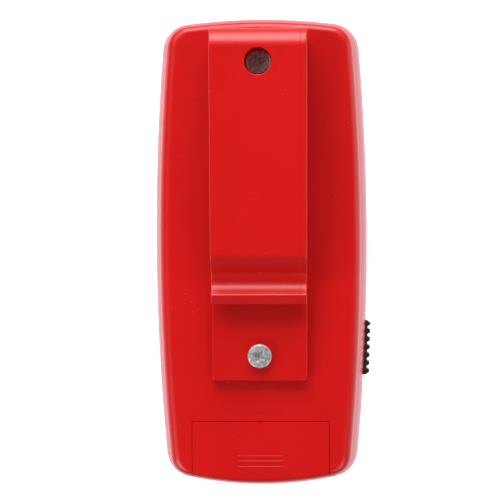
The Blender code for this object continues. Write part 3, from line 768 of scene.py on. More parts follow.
@dataclass
class Covers:
    """The two covers and the battery door."""

    shape: CaseShape
    finishes: Finishes
    bury: float = 0.4 * MM
    boss: float = 3.3 * MM
    board_boss: float = 2.3 * MM
    pilot: float = 1.5 * MM
    board_pilot: float = 1.1 * MM
    lower_boss_y: float = -13 * MM
    lower_pilot_y: float = -11.8 * MM
    upper_boss_y: float = -7.1 * MM
    upper_pilot_y: float = -21.5 * MM
    door_gap: float = 0.11 * MM
    door_proud: float = 0.12 * MM
    door_half: float = 16 * MM
    door_top: float = -89.7 * MM
    tongue_half: float = 5 * MM
    lip_y: Pair = (-8.1 * MM, -7.1 * MM)
    lip_top: float = -92 * MM
    grips: tuple[float, ...] = (-97.9 * MM, -99.1 * MM, -100.4 * MM)
    grip_half: Pair = (5.3 * MM, 0.3 * MM)
    grip_rise: float = 0.22 * MM
    line_half: float = 0.08 * MM
    line_depth: float = 0.05 * MM
    bay_top: float = -9.2 * MM
    lamp_bore: float = 2.75 * MM
    dial_bore: float = 4 * MM
    slot_half: float = 0.7 * MM
    grille_pitch: float = 3.2 * MM
    grille_radius: float = 12 * MM
    grille_slots: int = 7

    def build(self) -> None:
        """Build the covers and the door."""
        self.rear()
        self.door()
        self.front()

    @property
    def back(self) -> float:
        """The back face's place along Y."""
        return self.shape.parting + self.shape.depth

    @property
    def face(self) -> float:
        """The front face's place along Y."""
        return self.shape.parting - self.shape.depth

    def switch_window(self) -> bpy.types.Object:
        """Make the tool for the switch's window in the side walls.

        Returns:
            The tool.
        """
        middle = middle_of("slide_knob")
        half = Vector((4 * MM, 2.65 * MM, 8.3 * MM))
        middle.x = -self.shape.half_width + 1 * MM
        return Bench.block("window_tool", middle - half, middle + half, 0.5 * MM)

    def socket_hole(self) -> bpy.types.Object:
        """Make the tool for the earphone plug's way in, with a chamfered mouth.

        Returns:
            The tool.
        """
        low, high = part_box("earphone_socket")
        centre = Vector(((low.x + high.x) / 2 + 0.05 * MM, -14.7 * MM, 0))
        bore = 1.8 * MM
        top = self.shape.top
        profile = ((bore, top - 4 * MM), (bore, top - 0.65 * MM), (bore + 0.55 * MM, top + 0.2 * MM))
        return Bench.turned("socket_tool", profile, centre, Axis.Z, 40)

    def door_block(self, margin: float) -> bpy.types.Object:
        """Make a block round the door's part of the shell.

        Args:
            margin: How far it is grown on the sides and the top.

        Returns:
            The block.
        """
        half = self.door_half + margin
        low = (-half, self.shape.parting - PAST, self.shape.bottom - 5 * MM)
        return Bench.block("door_tool", low, (half, self.back + 5 * MM, self.door_top + margin))

    def rear(self) -> None:
        """Build the rear cover."""
        shell = self.shape.cup("rear_shell", 1)
        lower = middle_of("clip_screw_lower")
        floor = self.back - self.shape.wall
        Bench.work(shell, Fit.JOIN,
                   Bench.rod("boss_tool", self.boss, floor + self.bury, self.lower_boss_y, lower))
        lip_low, lip_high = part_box("battery_door")
        way = lip_high.x + 0.4 * MM
        Bench.work(shell, Fit.CUT,
                   self.door_block(self.door_gap),
                   Bench.block("lip_tool", (-way, self.lip_y[0] - 0.3 * MM, lip_low.z - 5 * MM),
                               (way, -6.95 * MM, -98 * MM)),
                   Bench.rod("pilot_tool", self.pilot, self.lower_pilot_y, 0, lower),
                   Bench.rod("pilot_tool", self.pilot + 0.3 * MM, floor - PAST, 0,
                             middle_of("clip_screw_upper")),
                   self.switch_window(),
                   self.socket_hole(),
                   *self.sink_lines())
        Bench.show(shell, self.finishes.red, "root", "red_abs", ["rear_cover"])

    def sink_lines(self) -> list[bpy.types.Object]:
        """Make the tools for the faint lines that the door's guide and tongue pocket leave on the back.

        Returns:
            The tools.
        """
        half = self.line_half
        deep = self.back - self.line_depth
        out = self.back + PAST
        guide, tongue = -15.9 * MM, -87.7 * MM
        return [Bench.block("guide_line", (guide - half, deep, -89.3 * MM), (guide + half, out, -83.8 * MM)),
                Bench.block("tongue_line", (-4.6 * MM, deep, tongue - half), (5.2 * MM, out, tongue + half))]

    def door(self) -> None:
        """Build the battery door, with its tongue, lips and grip ribs."""
        plate = self.shape.cup("door_plate", 1, self.door_proud)
        Bench.work(plate, Fit.KEEP, self.door_block(0.0))
        reach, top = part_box("battery_door")[1].xz
        tongue, foot = self.tongue_half, 4.9 * MM
        under, over = self.lip_y
        base = under + 0.2 * MM
        skin = self.back - self.shape.wall + 0.3 * MM
        Bench.work(plate, Fit.JOIN,
                   Bench.block("tongue_tool", (-tongue, under, self.lip_top), (tongue, over, top), 0.15 * MM),
                   Bench.block("foot_tool", (-foot, base, -91.8 * MM), (foot, skin, -90.2 * MM)))
        for side in (-1, 1):
            inner, outer = sorted((side * 14.5 * MM, side * reach))
            root_in, root_out = sorted((side * 14.6 * MM, side * 15.9 * MM))
            Bench.work(plate, Fit.JOIN,
                       Bench.block("lip_tool", (inner, under, -98.6 * MM), (outer, over, self.lip_top),
                                   0.1 * MM),
                       Bench.block("foot_tool", (root_in, base, -98.4 * MM), (root_out, skin, -92.2 * MM)))
        wide, tall = self.grip_half
        for z in self.grips:
            Bench.work(plate, Fit.JOIN,
                       Bench.block("rib_tool", (-wide, self.back - 0.5 * MM, z - tall),
                                   (wide, self.back + self.grip_rise, z + tall), 0.1 * MM, 3))
        Bench.work(plate, Fit.CUT,
                   Bench.rod("notch_tool", 0.3 * MM, self.back - 0.3 * MM, self.back + PAST,
                             Vector((0, 0, self.door_top))))
        Bench.show(plate, self.finishes.red, "door", "red_abs", ["battery_door"])

    def front(self) -> None:
        """Build the front cover, with the dial's bore, the lamp's hole, the grille and the battery bay."""
        shell = self.shape.cup("front_shell", -1)
        floor = self.face + self.shape.wall - self.bury
        upper = middle_of("clip_screw_upper")
        boards = [middle_of(f"board_screw_{name}") for name in ("left", "right", "lower")]
        tools = [Bench.rod("boss_tool", self.boss, floor, self.upper_boss_y, upper)]
        tools += [Bench.rod("boss_tool", self.board_boss, floor, -18.9 * MM, place, sides=32)
                  for place in boards]
        top = self.bay_top
        brim = top - 0.01 * MM
        tools.append(Bench.block("shelf_tool", (-18.2 * MM, floor, -89.9 * MM), (17.4 * MM, top, -88.7 * MM)))
        for low, high in ((-18.19, -17.01), (16.21, 17.39)):
            tools.append(Bench.block("bay_tool", (low * MM, floor, -99 * MM), (high * MM, brim, -88.8 * MM)))
        for x in (-8, 8):
            tools.append(Bench.block("rib_tool", ((x - 0.6) * MM, floor, -99.5 * MM),
                                     ((x + 0.6) * MM, -21.65 * MM, -89.4 * MM)))
        for side in (-1, 1):
            for name, reach, low, high in (("foot_tool", (20.91, 23.2), (-20, -60.9), (-16.7, -55.1)),
                                           ("post_tool", (20.9, 21.8), (-19.9, -61), (-12, -55))):
                left, right = sorted(side * x * MM for x in reach)
                tools.append(Bench.block(name, (left, low[0] * MM, low[1] * MM),
                                         (right, high[0] * MM, high[1] * MM)))
        Bench.work(shell, Fit.JOIN, *tools)
        self.front_openings(shell, upper, boards)
        Bench.show(shell, self.finishes.red, "root", "red_abs", ["front_cover"])

    def front_openings(self, shell: bpy.types.Object, upper: Vector, boards: list[Vector]) -> None:
        """Cut the front cover's openings.

        Args:
            shell: The front cover.
            upper: The upper clip screw's middle.
            boards: The board screws' middles.
        """
        speaker = middle_of("speaker_frame")
        inside = self.face + self.shape.wall + PAST
        outside = self.face - PAST
        bore, rim = self.lamp_bore, 0.25 * MM
        mouth = [(bore + rim + PAST, outside), (bore, self.face + rim), (bore, inside)]
        tools = [Bench.rod("bore_tool", self.dial_bore, outside, inside, middle_of("tempo_dial")),
                 Bench.turned("lamp_tool", mouth, middle_of("beat_lamp"), sides=48),
                 Bench.rod("pilot_tool", self.pilot, self.upper_pilot_y, 0, upper),
                 self.switch_window(),
                 self.socket_hole()]
        tools += [Bench.rod("pilot_tool", self.board_pilot, -23.6 * MM, -17.6 * MM, place, sides=24)
                  for place in boards]
        for k in range(self.grille_slots):
            z = (k - (self.grille_slots - 1) / 2) * self.grille_pitch
            half = math.sqrt(self.grille_radius ** 2 - z ** 2)
            low = (speaker.x - half, outside, speaker.z + z - self.slot_half)
            high = (speaker.x + half, inside, speaker.z + z + self.slot_half)
            tools.append(self.grille_slot(low, high))
        for x in (-12.2, 12.2):
            tools.append(Bench.block("lead_tool", ((x - 1) * MM, -12 * MM, -91 * MM),
                                     ((x + 1) * MM, -8 * MM, -87.7 * MM)))
        Bench.work(shell, Fit.CUT, *tools)

    def grille_slot(self, low: Sequence[float], high: Sequence[float]) -> bpy.types.Object:
        """Make the tool for one round-ended slot, flared at the outside.

        Args:
            low: The slot's lowest corner.
            high: The slot's highest corner.

        Returns:
            The tool.
        """
        radius = (high[2] - low[2]) / 2
        middle = (high[2] + low[2]) / 2
        loops: list[Loop] = []
        for y, extra in ((low[1], 1.25 * MM), (self.face + 0.25 * MM, 0.0), (high[1], 0.0)):
            right = sweep((high[0] - radius, middle), radius + extra, -math.pi / 2, math.pi / 2, 10)
            left = sweep((low[0] + radius, middle), radius + extra, math.pi / 2, 1.5 * math.pi, 10)
            loops.append([Vector((x, y, z)) for x, z in right + left])
        return Bench.loft("slot_tool", loops)


# ---------------------------------------------------------------- the belt clip
@dataclass
class BeltClip:
    """The clip: base plate, bend and springy leaf of one moulding, in three pieces that meet edge to edge."""

    finishes: Finishes
    edge: float = 0.28 * MM
    half_end: float = 11.05 * MM
    ramp_top: Pair = (4.5 * MM, -51.0 * MM)
    valley: Pair = (-0.47 * MM, -56.5 * MM)
    lip_edge: Pair = (2.8 * MM, -59.75 * MM)
    lip_end: Pair = (2.0 * MM, -61.95 * MM)
    inner_ramp: Pair = (2.5 * MM, -51.8 * MM)
    inner_valley: Pair = (-2.2 * MM, -57.0 * MM)
    outer_radii: Pair = (2.2 * MM, 3.3 * MM)
    inner_radii: Pair = (1.2 * MM, 1.6 * MM)
    seam_inset: float = 1.45 * MM
    seam_depth: float = 0.06 * MM
    seam_half: float = 0.05 * MM
    hole: float = 3.15 * MM
    hole_chamfer: float = 0.18 * MM
    lip_fillet: float = 0.16 * MM

    def build(self) -> None:
        """Build the three stretches of the clip."""
        low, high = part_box("clip_base")
        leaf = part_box("clip_leaf")[1]
        self.inner = high.y * -1
        self.outer = low.y * -1
        self.bend_z = leaf.z - self.outer
        self.end_z = low.z
        self.half_top = leaf.x
        self.base()
        self.bend()
        self.leaf()

    def half(self, z: float) -> float:
        """Give the clip's half width at a height."""
        share = (z - self.end_z) / (self.outer - self.end_z)
        return self.half_end + (self.half_top - self.half_end) * share

    def section(self, outside: Pair, inside: Pair, draw_in: float = 0.0, seam: bool = True) -> Loop:
        """Make the clip's cross-section between a point on its outer face and one on its inner face.

        Args:
            outside: y and z of the outer face.
            inside: y and z of the inner face.
            draw_in: How far the section is drawn in all round, for the ends.
            seam: Whether the mould's seam line marks the outer face.

        Returns:
            The section's points.
        """
        outer = Vector((0, *outside))
        inner = Vector((0, *inside))
        way = (outer - inner).normalized()
        outer -= way * draw_in
        inner += way * draw_in
        half = self.half(outer.z) - draw_in
        fillet = self.edge
        tall = (outer - inner).length
        quarter = math.pi / 2
        spots = sweep((half - fillet, fillet), fillet, -quarter, 0, 4)
        spots += sweep((half - fillet, tall - fillet), fillet, 0, quarter, 4)
        spots += [(half * share, tall) for share in (0.6, 0.2, -0.2, -0.6)]
        groove = -(half - self.seam_inset)
        depth = self.seam_depth if seam else 0.0
        for offset, drop in ((0.3 * MM, 0.0), (self.seam_half, 0.0), (0.0, depth), (-self.seam_half, 0.0),
                             (-0.3 * MM, 0.0)):
            spots.append((groove + offset, tall - drop))
        spots += sweep((-half + fillet, tall - fillet), fillet, quarter, math.pi, 4)
        spots += sweep((-half + fillet, fillet), fillet, math.pi, 1.5 * math.pi, 4)
        return [inner + way * rise + Vector((x, 0, 0)) for x, rise in spots]

    def base(self) -> None:
        """Build the plate that the screws hold against the case."""
        ends = [(0.0, self.edge), (0.08, 0.1 * MM), (0.28, 0.0), (20.0, 0.0), (50.0, 0.0)]
        heights = [(self.end_z + rise * MM, draw_in) for rise, draw_in in ends] + [(self.bend_z, 0.0)]
        loops = [self.section((-self.inner, z), (-self.outer, z), draw_in, seam=False)
                 for z, draw_in in heights]
        plate = Bench.loft("clip_plate", loops)
        for name in ("clip_screw_upper", "clip_screw_lower"):
            hole = Bench.rod("hole_tool", 1.5 * MM, -self.outer - PAST, -self.inner + PAST, middle_of(name))
            Bench.use(plate, hole, Fit.CUT)
        Bench.show(plate, self.finishes.red, "root", "red_abs", ["clip_base"])

    def bend(self) -> None:
        """Build the bend over the belt, which gives as the leaf is pulled out."""
        loops = []
        for k in range(41):
            angle = math.pi * (1 - k / 40)
            outside, inside = ((reach * math.cos(angle), self.bend_z + reach * math.sin(angle))
                               for reach in (self.outer, self.inner))
            loops.append(self.section(outside, inside, seam=k > 0))
        piece = Bench.loft("clip_bend", loops)
        Bench.show(piece, self.finishes.red, "", "red_abs", smooth=50)
        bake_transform(piece)

    @staticmethod
    def rounded(start: Vector, corner: Vector, end: Vector, radius: float,
                counts: tuple[int, int, int]) -> Loop:
        """List the points of two straight runs that meet in an arc.

        Args:
            start: Where the first run starts.
            corner: Where the two runs would meet.
            end: Where the second run ends.
            radius: The arc's radius.
            counts: Steps of the first run, the arc and the second run.

        Returns:
            The points, without the last.
        """
        first = (corner - start).normalized()
        second = (end - corner).normalized()
        turn = first.angle(second)
        trim = radius * math.tan(turn / 2)
        enter = corner - first * trim
        leave = corner + second * trim
        centre = corner + (second - first).normalized() * radius / math.cos(turn / 2)
        points = [start.lerp(enter, k / counts[0]) for k in range(counts[0])]
        for k in range(counts[1]):
            share = k / counts[1]
            spoke = (enter - centre).normalized().slerp((leave - centre).normalized(), share)
            points.append(centre + spoke * radius)
        points += [leave.lerp(end, k / counts[2]) for k in range(counts[2])]
        return points

    def leaf(self) -> None:
        """Build the leaf, its ramp, its valley and the thick lip that lifts it over a belt."""
        outside = self.profile(self.outer, self.ramp_top, self.valley, self.lip_edge, self.outer_radii)
        inside = self.profile(self.inner, self.inner_ramp, self.inner_valley, self.lip_end, self.inner_radii)
        loops = [self.section((o.y, o.z), (i.y, i.z)) for o, i in zip(outside, inside)]
        back = (outside[-1] - outside[-2]).normalized()
        last = (outside[-1], inside[-1])
        fillet = self.lip_fillet
        loops[-1] = self.section(*(tuple((point - back * fillet).yz) for point in last))
        for shift, draw_in in ((0.05 * MM, 0.05 * MM), (0.0, fillet)):
            ends = [tuple((point - back * shift).yz) for point in last]
            loops.append(self.section(*ends, draw_in, seam=False))
        piece = Bench.loft("clip_tongue", loops)
        face, chamfer = self.outer, self.hole_chamfer
        profile = ((self.hole, face - 3 * MM), (self.hole, face - chamfer), (self.hole + chamfer, face),
                   (self.hole + chamfer + PAST, face + PAST))
        hole = Bench.turned("hole_tool", profile, middle_of("clip_screw_upper"), sides=96)
        Bench.use(piece, hole, Fit.CUT)
        Bench.show(piece, self.finishes.red, "leaf", "red_abs", ["clip_leaf"])

    def profile(self, top: float, ramp: Pair, valley: Pair, end: Pair, radii: Pair) -> Loop:
        """List the points of one face of the leaf, from the bend to the lip.

        Args:
            top: The face's place along Y at the bend.
            ramp: y and z where the ramp starts.
            valley: y and z of the valley.
            end: y and z of the lip.
            radii: Radii at the ramp and in the valley.

        Returns:
            The points, both ends included.
        """
        first, start, low, last = (Vector((0, *place)) for place in ((top, self.bend_z), ramp, valley, end))
        knee = (start + low) / 2
        points = self.rounded(first, start, knee, radii[0], (14, 8, 3))
        points += self.rounded(knee, low, last, radii[1], (4, 14, 5))
        return [*points, last]


# ---------------------------------------------------------------- fasteners
@dataclass
class PanHeadScrew:
    """A zinc-plated pan-head screw with a cross recess."""

    node: str
    piece: str
    turn_deg: float
    head: float = 2.8 * MM
    shank: float = 1.2 * MM
    rise: float = 1.6 * MM
    edge: float = 0.36 * MM
    break_edge: float = 0.12 * MM
    recess: float = 1.62 * MM
    tip: float = 0.3 * MM
    waist: float = 0.66 * MM

    def build(self, finishes: Finishes) -> None:
        """Build the screw.

        Args:
            finishes: Where its plating comes from.
        """
        low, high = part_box(self.node)
        centre = (low + high) / 2
        seat = high.y - self.rise
        edge, small = self.edge, self.break_edge
        crown = high.y - 0.1 * MM
        dome = [*sweep((self.head - edge, crown - edge), edge, 0, math.radians(80), 8),
                (self.head * 0.6, crown + 0.06 * MM), (self.head * 0.3, high.y - 0.02 * MM)]
        profile = [(self.shank * 0.3, low.y), (self.shank, low.y + 1.2 * MM), (self.shank, seat),
                   (self.head - small, seat), (self.head, seat + small), *dome]
        screw = Bench.turned(self.piece, profile, centre, sides=72)
        Bench.use(screw, self.cross_tool(centre, high.y), Fit.CUT)
        Bench.soften(screw, 0.07 * MM, 50, 1)
        Bench.show(screw, finishes.zinc, "root", "zinc_plated_steel", [self.node], smooth=40)

    def cross_tool(self, centre: Vector, top: float) -> bpy.types.Object:
        """Make the steep-walled tool for the cross, four tapered arms round a wide middle.

        Args:
            centre: The screw's middle.
            top: Where its head ends along Y.

        Returns:
            The tool.
        """
        loops: list[Loop] = []
        for depth, share in ((-0.3 * MM, 1.04), (0.1 * MM, 1.0), (1.0 * MM, 0.76)):
            long, tip, waist = self.recess * share, self.tip * share, self.waist * share
            loop: Loop = []
            for k in range(4):
                turn = Matrix.Rotation(math.radians(-self.turn_deg - 90 * k), 3, "Y")
                for x, z in ((long, -tip), (long, tip), (waist, waist)):
                    loop.append(turn @ Vector((x, 0, z)) + Vector((centre.x, top - depth, centre.z)))
            loops.append(loop)
        return Bench.loft("cross_tool", loops)


# ---------------------------------------------------------------- the slide switch
@dataclass
class SlideKnob:
    """The ribbed knob of the slide switch, with the shutter behind its window."""

    finishes: Finishes
    ribs: int = 7
    pitch: float = 1.88 * MM
    tip_half: float = 0.3 * MM
    foot_half: float = 0.7 * MM
    valley: float = 0.66 * MM
    half_length: float = 6.5 * MM
    half_width: float = 2.4 * MM
    side_chamfer: float = 0.2 * MM
    root: float = -20.5 * MM
    shutter_x: Pair = (-20.8 * MM, -20.2 * MM)
    lever_y: Pair = (-15.7 * MM, -14.1 * MM)
    lever_half: float = 1.2 * MM

    def build(self) -> None:
        """Build the knob."""
        low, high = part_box("slide_knob")
        middle = (low + high) / 2
        half, bevel = self.half_width, self.side_chamfer
        stations = ((-half, bevel), (-half + bevel, 0), (half - bevel, 0), (half, bevel))
        loops = [self.outline(low.x, middle.z, middle.y + shift, drop) for shift, drop in stations]
        knob = Bench.loft("switch_knob", loops)
        inner, outer = self.shutter_x
        under, over = self.lever_y
        shutter = Bench.block("shutter_tool", (inner, low.y, low.z), (outer, high.y, high.z), 0.1 * MM)
        lever = Bench.block("lever_tool", (self.root - 0.1 * MM, under, middle.z - self.lever_half),
                            (high.x, over, middle.z + self.lever_half), 0.1 * MM)
        Bench.work(knob, Fit.JOIN, shutter, lever)
        Bench.show(knob, self.finishes.black, "slider", "black_abs", ["slide_knob"])

    def outline(self, tip: float, middle: float, y: float, drop: float) -> Loop:
        """Make the knob's outline at one place across it.

        Args:
            tip: Where its ribs end along X.
            middle: Its middle height.
            y: The place across it.
            drop: How far its outer side is drawn in there.

        Returns:
            The outline's points.
        """
        half = self.half_length - drop * 0.6
        points = [(self.root, half), (tip + 1.3 * MM, half)]
        for k in range(self.ribs):
            z = ((self.ribs - 1) / 2 - k) * self.pitch
            lean = 0.4 * MM * (0.5 - z / (2 * self.half_length))
            crest = tip + lean + drop
            foot = tip + lean + self.valley + drop * 0.5
            slope = [(foot, z + self.foot_half), (crest + 0.1 * MM, z + self.tip_half + 0.06 * MM)]
            if k == 0:
                slope = [(tip + 0.8 * MM, z + 0.6 * MM), (crest + 0.15 * MM, z + 0.1 * MM)]
            points += slope
            points += [(crest, z + self.tip_half - 0.12 * MM), (crest, z - self.tip_half + 0.12 * MM),
                       (crest + 0.1 * MM, z - self.tip_half - 0.06 * MM), (foot, z - self.foot_half)]
        points += [(tip + 1.05 * MM, -half), (self.root, -half)]
        return [Vector((x, y, middle + z)) for x, z in points]


# ---------------------------------------------------------------- dial, scale and lamp
@dataclass
class TempoDial:
    """The tempo dial, its printed scale and the beat lamp."""

    finishes: Finishes
    tempos: tuple[int, ...] = (40, 44, 48, 52, 56, 60, 66, 72, 80, 88,
                               96, 104, 112, 120, 132, 144, 160, 176, 192, 208)
    turn_deg: float = 320.0
    flutes: int = 36
    flute_depth: float = 0.35 * MM
    thick: float = 4.5 * MM
    rim: float = 1.1 * MM
    hub: float = 2.9 * MM
    collar: float = 3.7 * MM
    dish: float = 0.45 * MM
    pointer_half: float = 0.45 * MM
    digit_height: float = 1.9 * MM
    print_rise: float = 0.02 * MM

    def build(self) -> None:
        """Build the dial, the scale and the lamp."""
        low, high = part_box("tempo_dial")
        self.centre = (low + high) / 2
        self.radius = high.x
        self.ring_low, self.ring_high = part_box("scale_ring")
        self.base_y = self.ring_high.y
        self.dial()
        self.scale()
        self.lamp()

    def dial(self) -> None:
        """Build the fluted dial with its pointer."""
        face = self.base_y - self.thick
        radius, base, rim = self.radius, self.base_y, self.rim
        floor = face + self.dish
        edge = [(radius - rim + x, z) for x, z in sweep((0, face + rim), rim, 0, -math.pi / 2, 6)]
        profile = [(self.hub, -22.8 * MM), (self.hub, -24.6 * MM), (self.collar, -24.7 * MM),
                   (self.collar, base), (radius - 0.25 * MM, base), (radius, base - 0.25 * MM), *edge,
                   (radius - 2.2 * MM, face), (radius - 2.7 * MM, face + 0.35 * MM),
                   (radius - 3.2 * MM, floor), (5 * MM, floor), (1 * MM, floor)]

        def flute(reach: float, angle: float) -> float:
            """Draw the rim's radius in between the flutes' crests."""
            if reach < radius - rim:
                return reach
            share = (reach - (radius - rim)) / rim
            return reach - self.flute_depth * share * (0.5 + 0.5 * math.cos(self.flutes * angle)) ** 2

        knob = Bench.turned("dial_knob", profile, self.centre, sides=self.flutes * 8, flute=flute)
        screw = Bench.rod("pilot_tool", 1.1 * MM, -28.3 * MM, -22 * MM, self.centre, sides=32)
        Bench.use(knob, screw, Fit.CUT)
        Bench.show(knob, self.finishes.black, "dial", "black_abs", ["tempo_dial"])
        start = self.centre.z + 6 * MM
        half = self.pointer_half
        bar = Bench.block("dial_pointer", (-half, face - 0.42 * MM, start),
                          (half, face + 0.6 * MM, self.centre.z + radius - 1.9 * MM), 0.2 * MM)
        Bench.show(bar, self.finishes.ink, "dial", "black_abs")

    def scale(self) -> None:
        """Build the scale ring with its marks and numbers."""
        outer = self.ring_high.x
        inner = self.radius + 0.5 * MM
        top = self.ring_low.y
        base = top + 0.65 * MM
        small = 0.12 * MM
        profile = ((inner, base), (outer, base), (outer, top + small), (outer - small, top), (inner, top))
        ring = Bench.turned("scale_plate", profile, self.centre, sides=192, closed=True)
        Bench.show(ring, self.finishes.grey, "root", "silver_grey_plastic", ["scale_ring"])
        to, back = Matrix.Translation(self.centre), Matrix.Translation(-self.centre)
        marks = []
        for k, tempo in enumerate(self.tempos):
            angle = math.radians(-self.turn_deg / 2 + self.turn_deg * k / (len(self.tempos) - 1))
            turn = to @ Matrix.Rotation(angle, 4, "Y") @ back
            marks.append(self.mark(turn, inner, top))
            marks.append(self.number(turn, str(tempo), inner + 2.45 * MM, top))
        Bench.clear()
        for mark in marks:
            mark.select_set(True)
        bpy.context.view_layer.objects.active = marks[0]
        bpy.ops.object.join()
        marks[0].name = "scale_print"
        Bench.show(marks[0], self.finishes.dark_ink, "root", "black_abs")

    def mark(self, turn: Matrix, inner: float, top: float) -> bpy.types.Object:
        """Make one line of the scale.

        Args:
            turn: Where it goes round the dial.
            inner: The scale's inner radius.
            top: The scale's face along Y.

        Returns:
            The line.
        """
        half, rise = 0.1 * MM, self.print_rise
        low = (-half, top - rise, self.centre.z + inner + 0.25 * MM)
        high = (half, top + rise, self.centre.z + inner + 1.15 * MM)
        line = Bench.block("mark", low, high)
        line.data.transform(turn)
        return line

    def number(self, turn: Matrix, text: str, reach: float, top: float) -> bpy.types.Object:
        """Make one number of the scale.

        Args:
            turn: Where it goes round the dial.
            text: Its digits.
            reach: The radius of its middle.
            top: The scale's face along Y.

        Returns:
            The number as a mesh.
        """
        Bench.clear()
        bpy.ops.object.text_add()
        words = bpy.context.object
        words.data.body = text
        words.data.size = self.digit_height * 1.35
        words.data.align_x = "CENTER"
        words.data.align_y = "CENTER"
        words.data.extrude = self.print_rise
        words.data.resolution_u = 3
        bpy.ops.object.convert(target="MESH")
        place = Matrix.Translation((self.centre.x, top, self.centre.z + reach))
        words = bpy.context.object
        words.data.transform(turn @ (place @ Matrix.Rotation(math.pi / 2, 4, "X")))
        return words

    def lamp(self) -> None:
        """Build the beat lamp's clear lens and its flange."""
        low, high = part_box("beat_lamp")
        centre = (low + high) / 2
        radius, flange = 2.5 * MM, 2.9 * MM
        dome = [(radius * math.cos(a), low.y + radius - radius * math.sin(a))
                for a in [math.radians(d) for d in range(0, 87, 8)]]
        profile = [(flange, high.y), (flange, high.y - 1 * MM), (radius, high.y - 1.05 * MM), *dome]
        lens = Bench.turned("lamp_lens", profile, centre, sides=64)
        Bench.show(lens, self.finishes.lens, "root", "red_lens", ["beat_lamp"])


# ---------------------------------------------------------------- speaker and power
@dataclass
class Inside:
    """What shows through the grille and behind the battery door, and the finish of all that stays hidden."""

    finishes: Finishes

    def build(self) -> None:
        """Build the cone and the cell, and dress the CAD pieces that stay."""
        self.cone()
        self.cell()
        self.dress()

    def cone(self) -> None:
        """Build the speaker's ribbed cone with its dust cap."""
        low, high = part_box("speaker_cone")
        centre = (low + high) / 2
        radius, cap_radius = high.x, 2.8 * MM
        front, back = low.y, high.y
        steps = 18
        profile = []
        for k in range(steps + 1):
            share = k / steps
            ripple = 0.12 * MM * math.sin(share * math.tau * 3.5) * (share > 0.35)
            profile.append((cap_radius + (radius - cap_radius) * share,
                            back - 0.5 * MM - (back - front - 0.7 * MM) * share + ripple))
        cap = [(cap_radius * math.cos(a), back - 0.5 * MM - 0.9 * MM * math.sin(a))
               for a in [math.radians(d) for d in range(89, 0, -12)]]
        cone = Bench.turned("speaker_diaphragm", cap + profile, centre, sides=72, capped=False)
        Bench.only(cone)
        wall = cone.modifiers.new("Wall", "SOLIDIFY")
        wall.thickness = 0.2 * MM
        bpy.ops.object.modifier_apply(modifier=wall.name)
        Bench.show(cone, self.finishes.paper, "root", "speaker_paper", ["speaker_cone"], smooth=60)

    def cell(self) -> None:
        """Build the battery cell: a sleeve rolled over at its ends, a steel cap and base."""
        low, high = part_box("battery_cell")
        centre = (low + high) / 2
        radius = (high.y - low.y) / 2
        roll = 0.45 * MM
        step = high.x - 1.0 * MM
        left = sweep((radius - roll, low.x + roll), roll, -math.pi / 2, 0, 5)
        right = sweep((radius - roll, step - roll), roll, 0, math.pi / 2, 5)
        sleeve = [(radius - 1.1 * MM, low.x + 0.12 * MM), (radius - 1.1 * MM, low.x), *left, *right,
                  (radius - 1.2 * MM, step), (radius - 1.2 * MM, high.x - 1.2 * MM)]
        Bench.show(Bench.turned("cell_sleeve", sleeve, centre, Axis.X), self.finishes.gold_sleeve, "root",
                   "cell_sleeve", ["battery_cell"])
        cap = [(radius - 1.25 * MM, high.x - 1.15 * MM), (2.4 * MM, step), (2.2 * MM, high.x - 0.9 * MM),
               (2.2 * MM, high.x - 0.15 * MM), (2.0 * MM, high.x)]
        Bench.show(Bench.turned("cell_cap", cap, centre, Axis.X), self.finishes.spring, "root",
                   "zinc_plated_steel")

    def dress(self) -> None:
        """Give every CAD piece that still shows its own finish."""
        looks = {"red_abs": self.finishes.red, "black_abs": self.finishes.black,
                 "circuit_board_green": self.finishes.board, "zinc_plated_steel": self.finishes.zinc,
                 "spring_brass": self.finishes.brass, "silver_grey_plastic": self.finishes.grey,
                 "red_lens": self.finishes.lens, "speaker_paper": self.finishes.paper,
                 "capacitor_sleeve": self.finishes.blue_sleeve, "cell_sleeve": self.finishes.gold_sleeve,
                 "red_lead": self.finishes.red_lead}
        special = {"battery_spring": self.finishes.spring, "battery_contact_plate": self.finishes.spring,
                   "speaker_magnet": self.finishes.magnet, "negative_lead": self.finishes.black_lead,
                   "speaker_lead_left": self.finishes.black_lead}
        slots = {part["node"]: part["material_slot"] for part in frame["record"]["subparts"]}
        for name, node in frame["nodes"].items():
            if node.hide_render:
                continue
            look = special.get(name, looks[slots[name]])
            node.data.materials.clear()
            node.data.materials.append(look)
            log.info("%s keeps its shape and is dressed in %s", name, look.name)


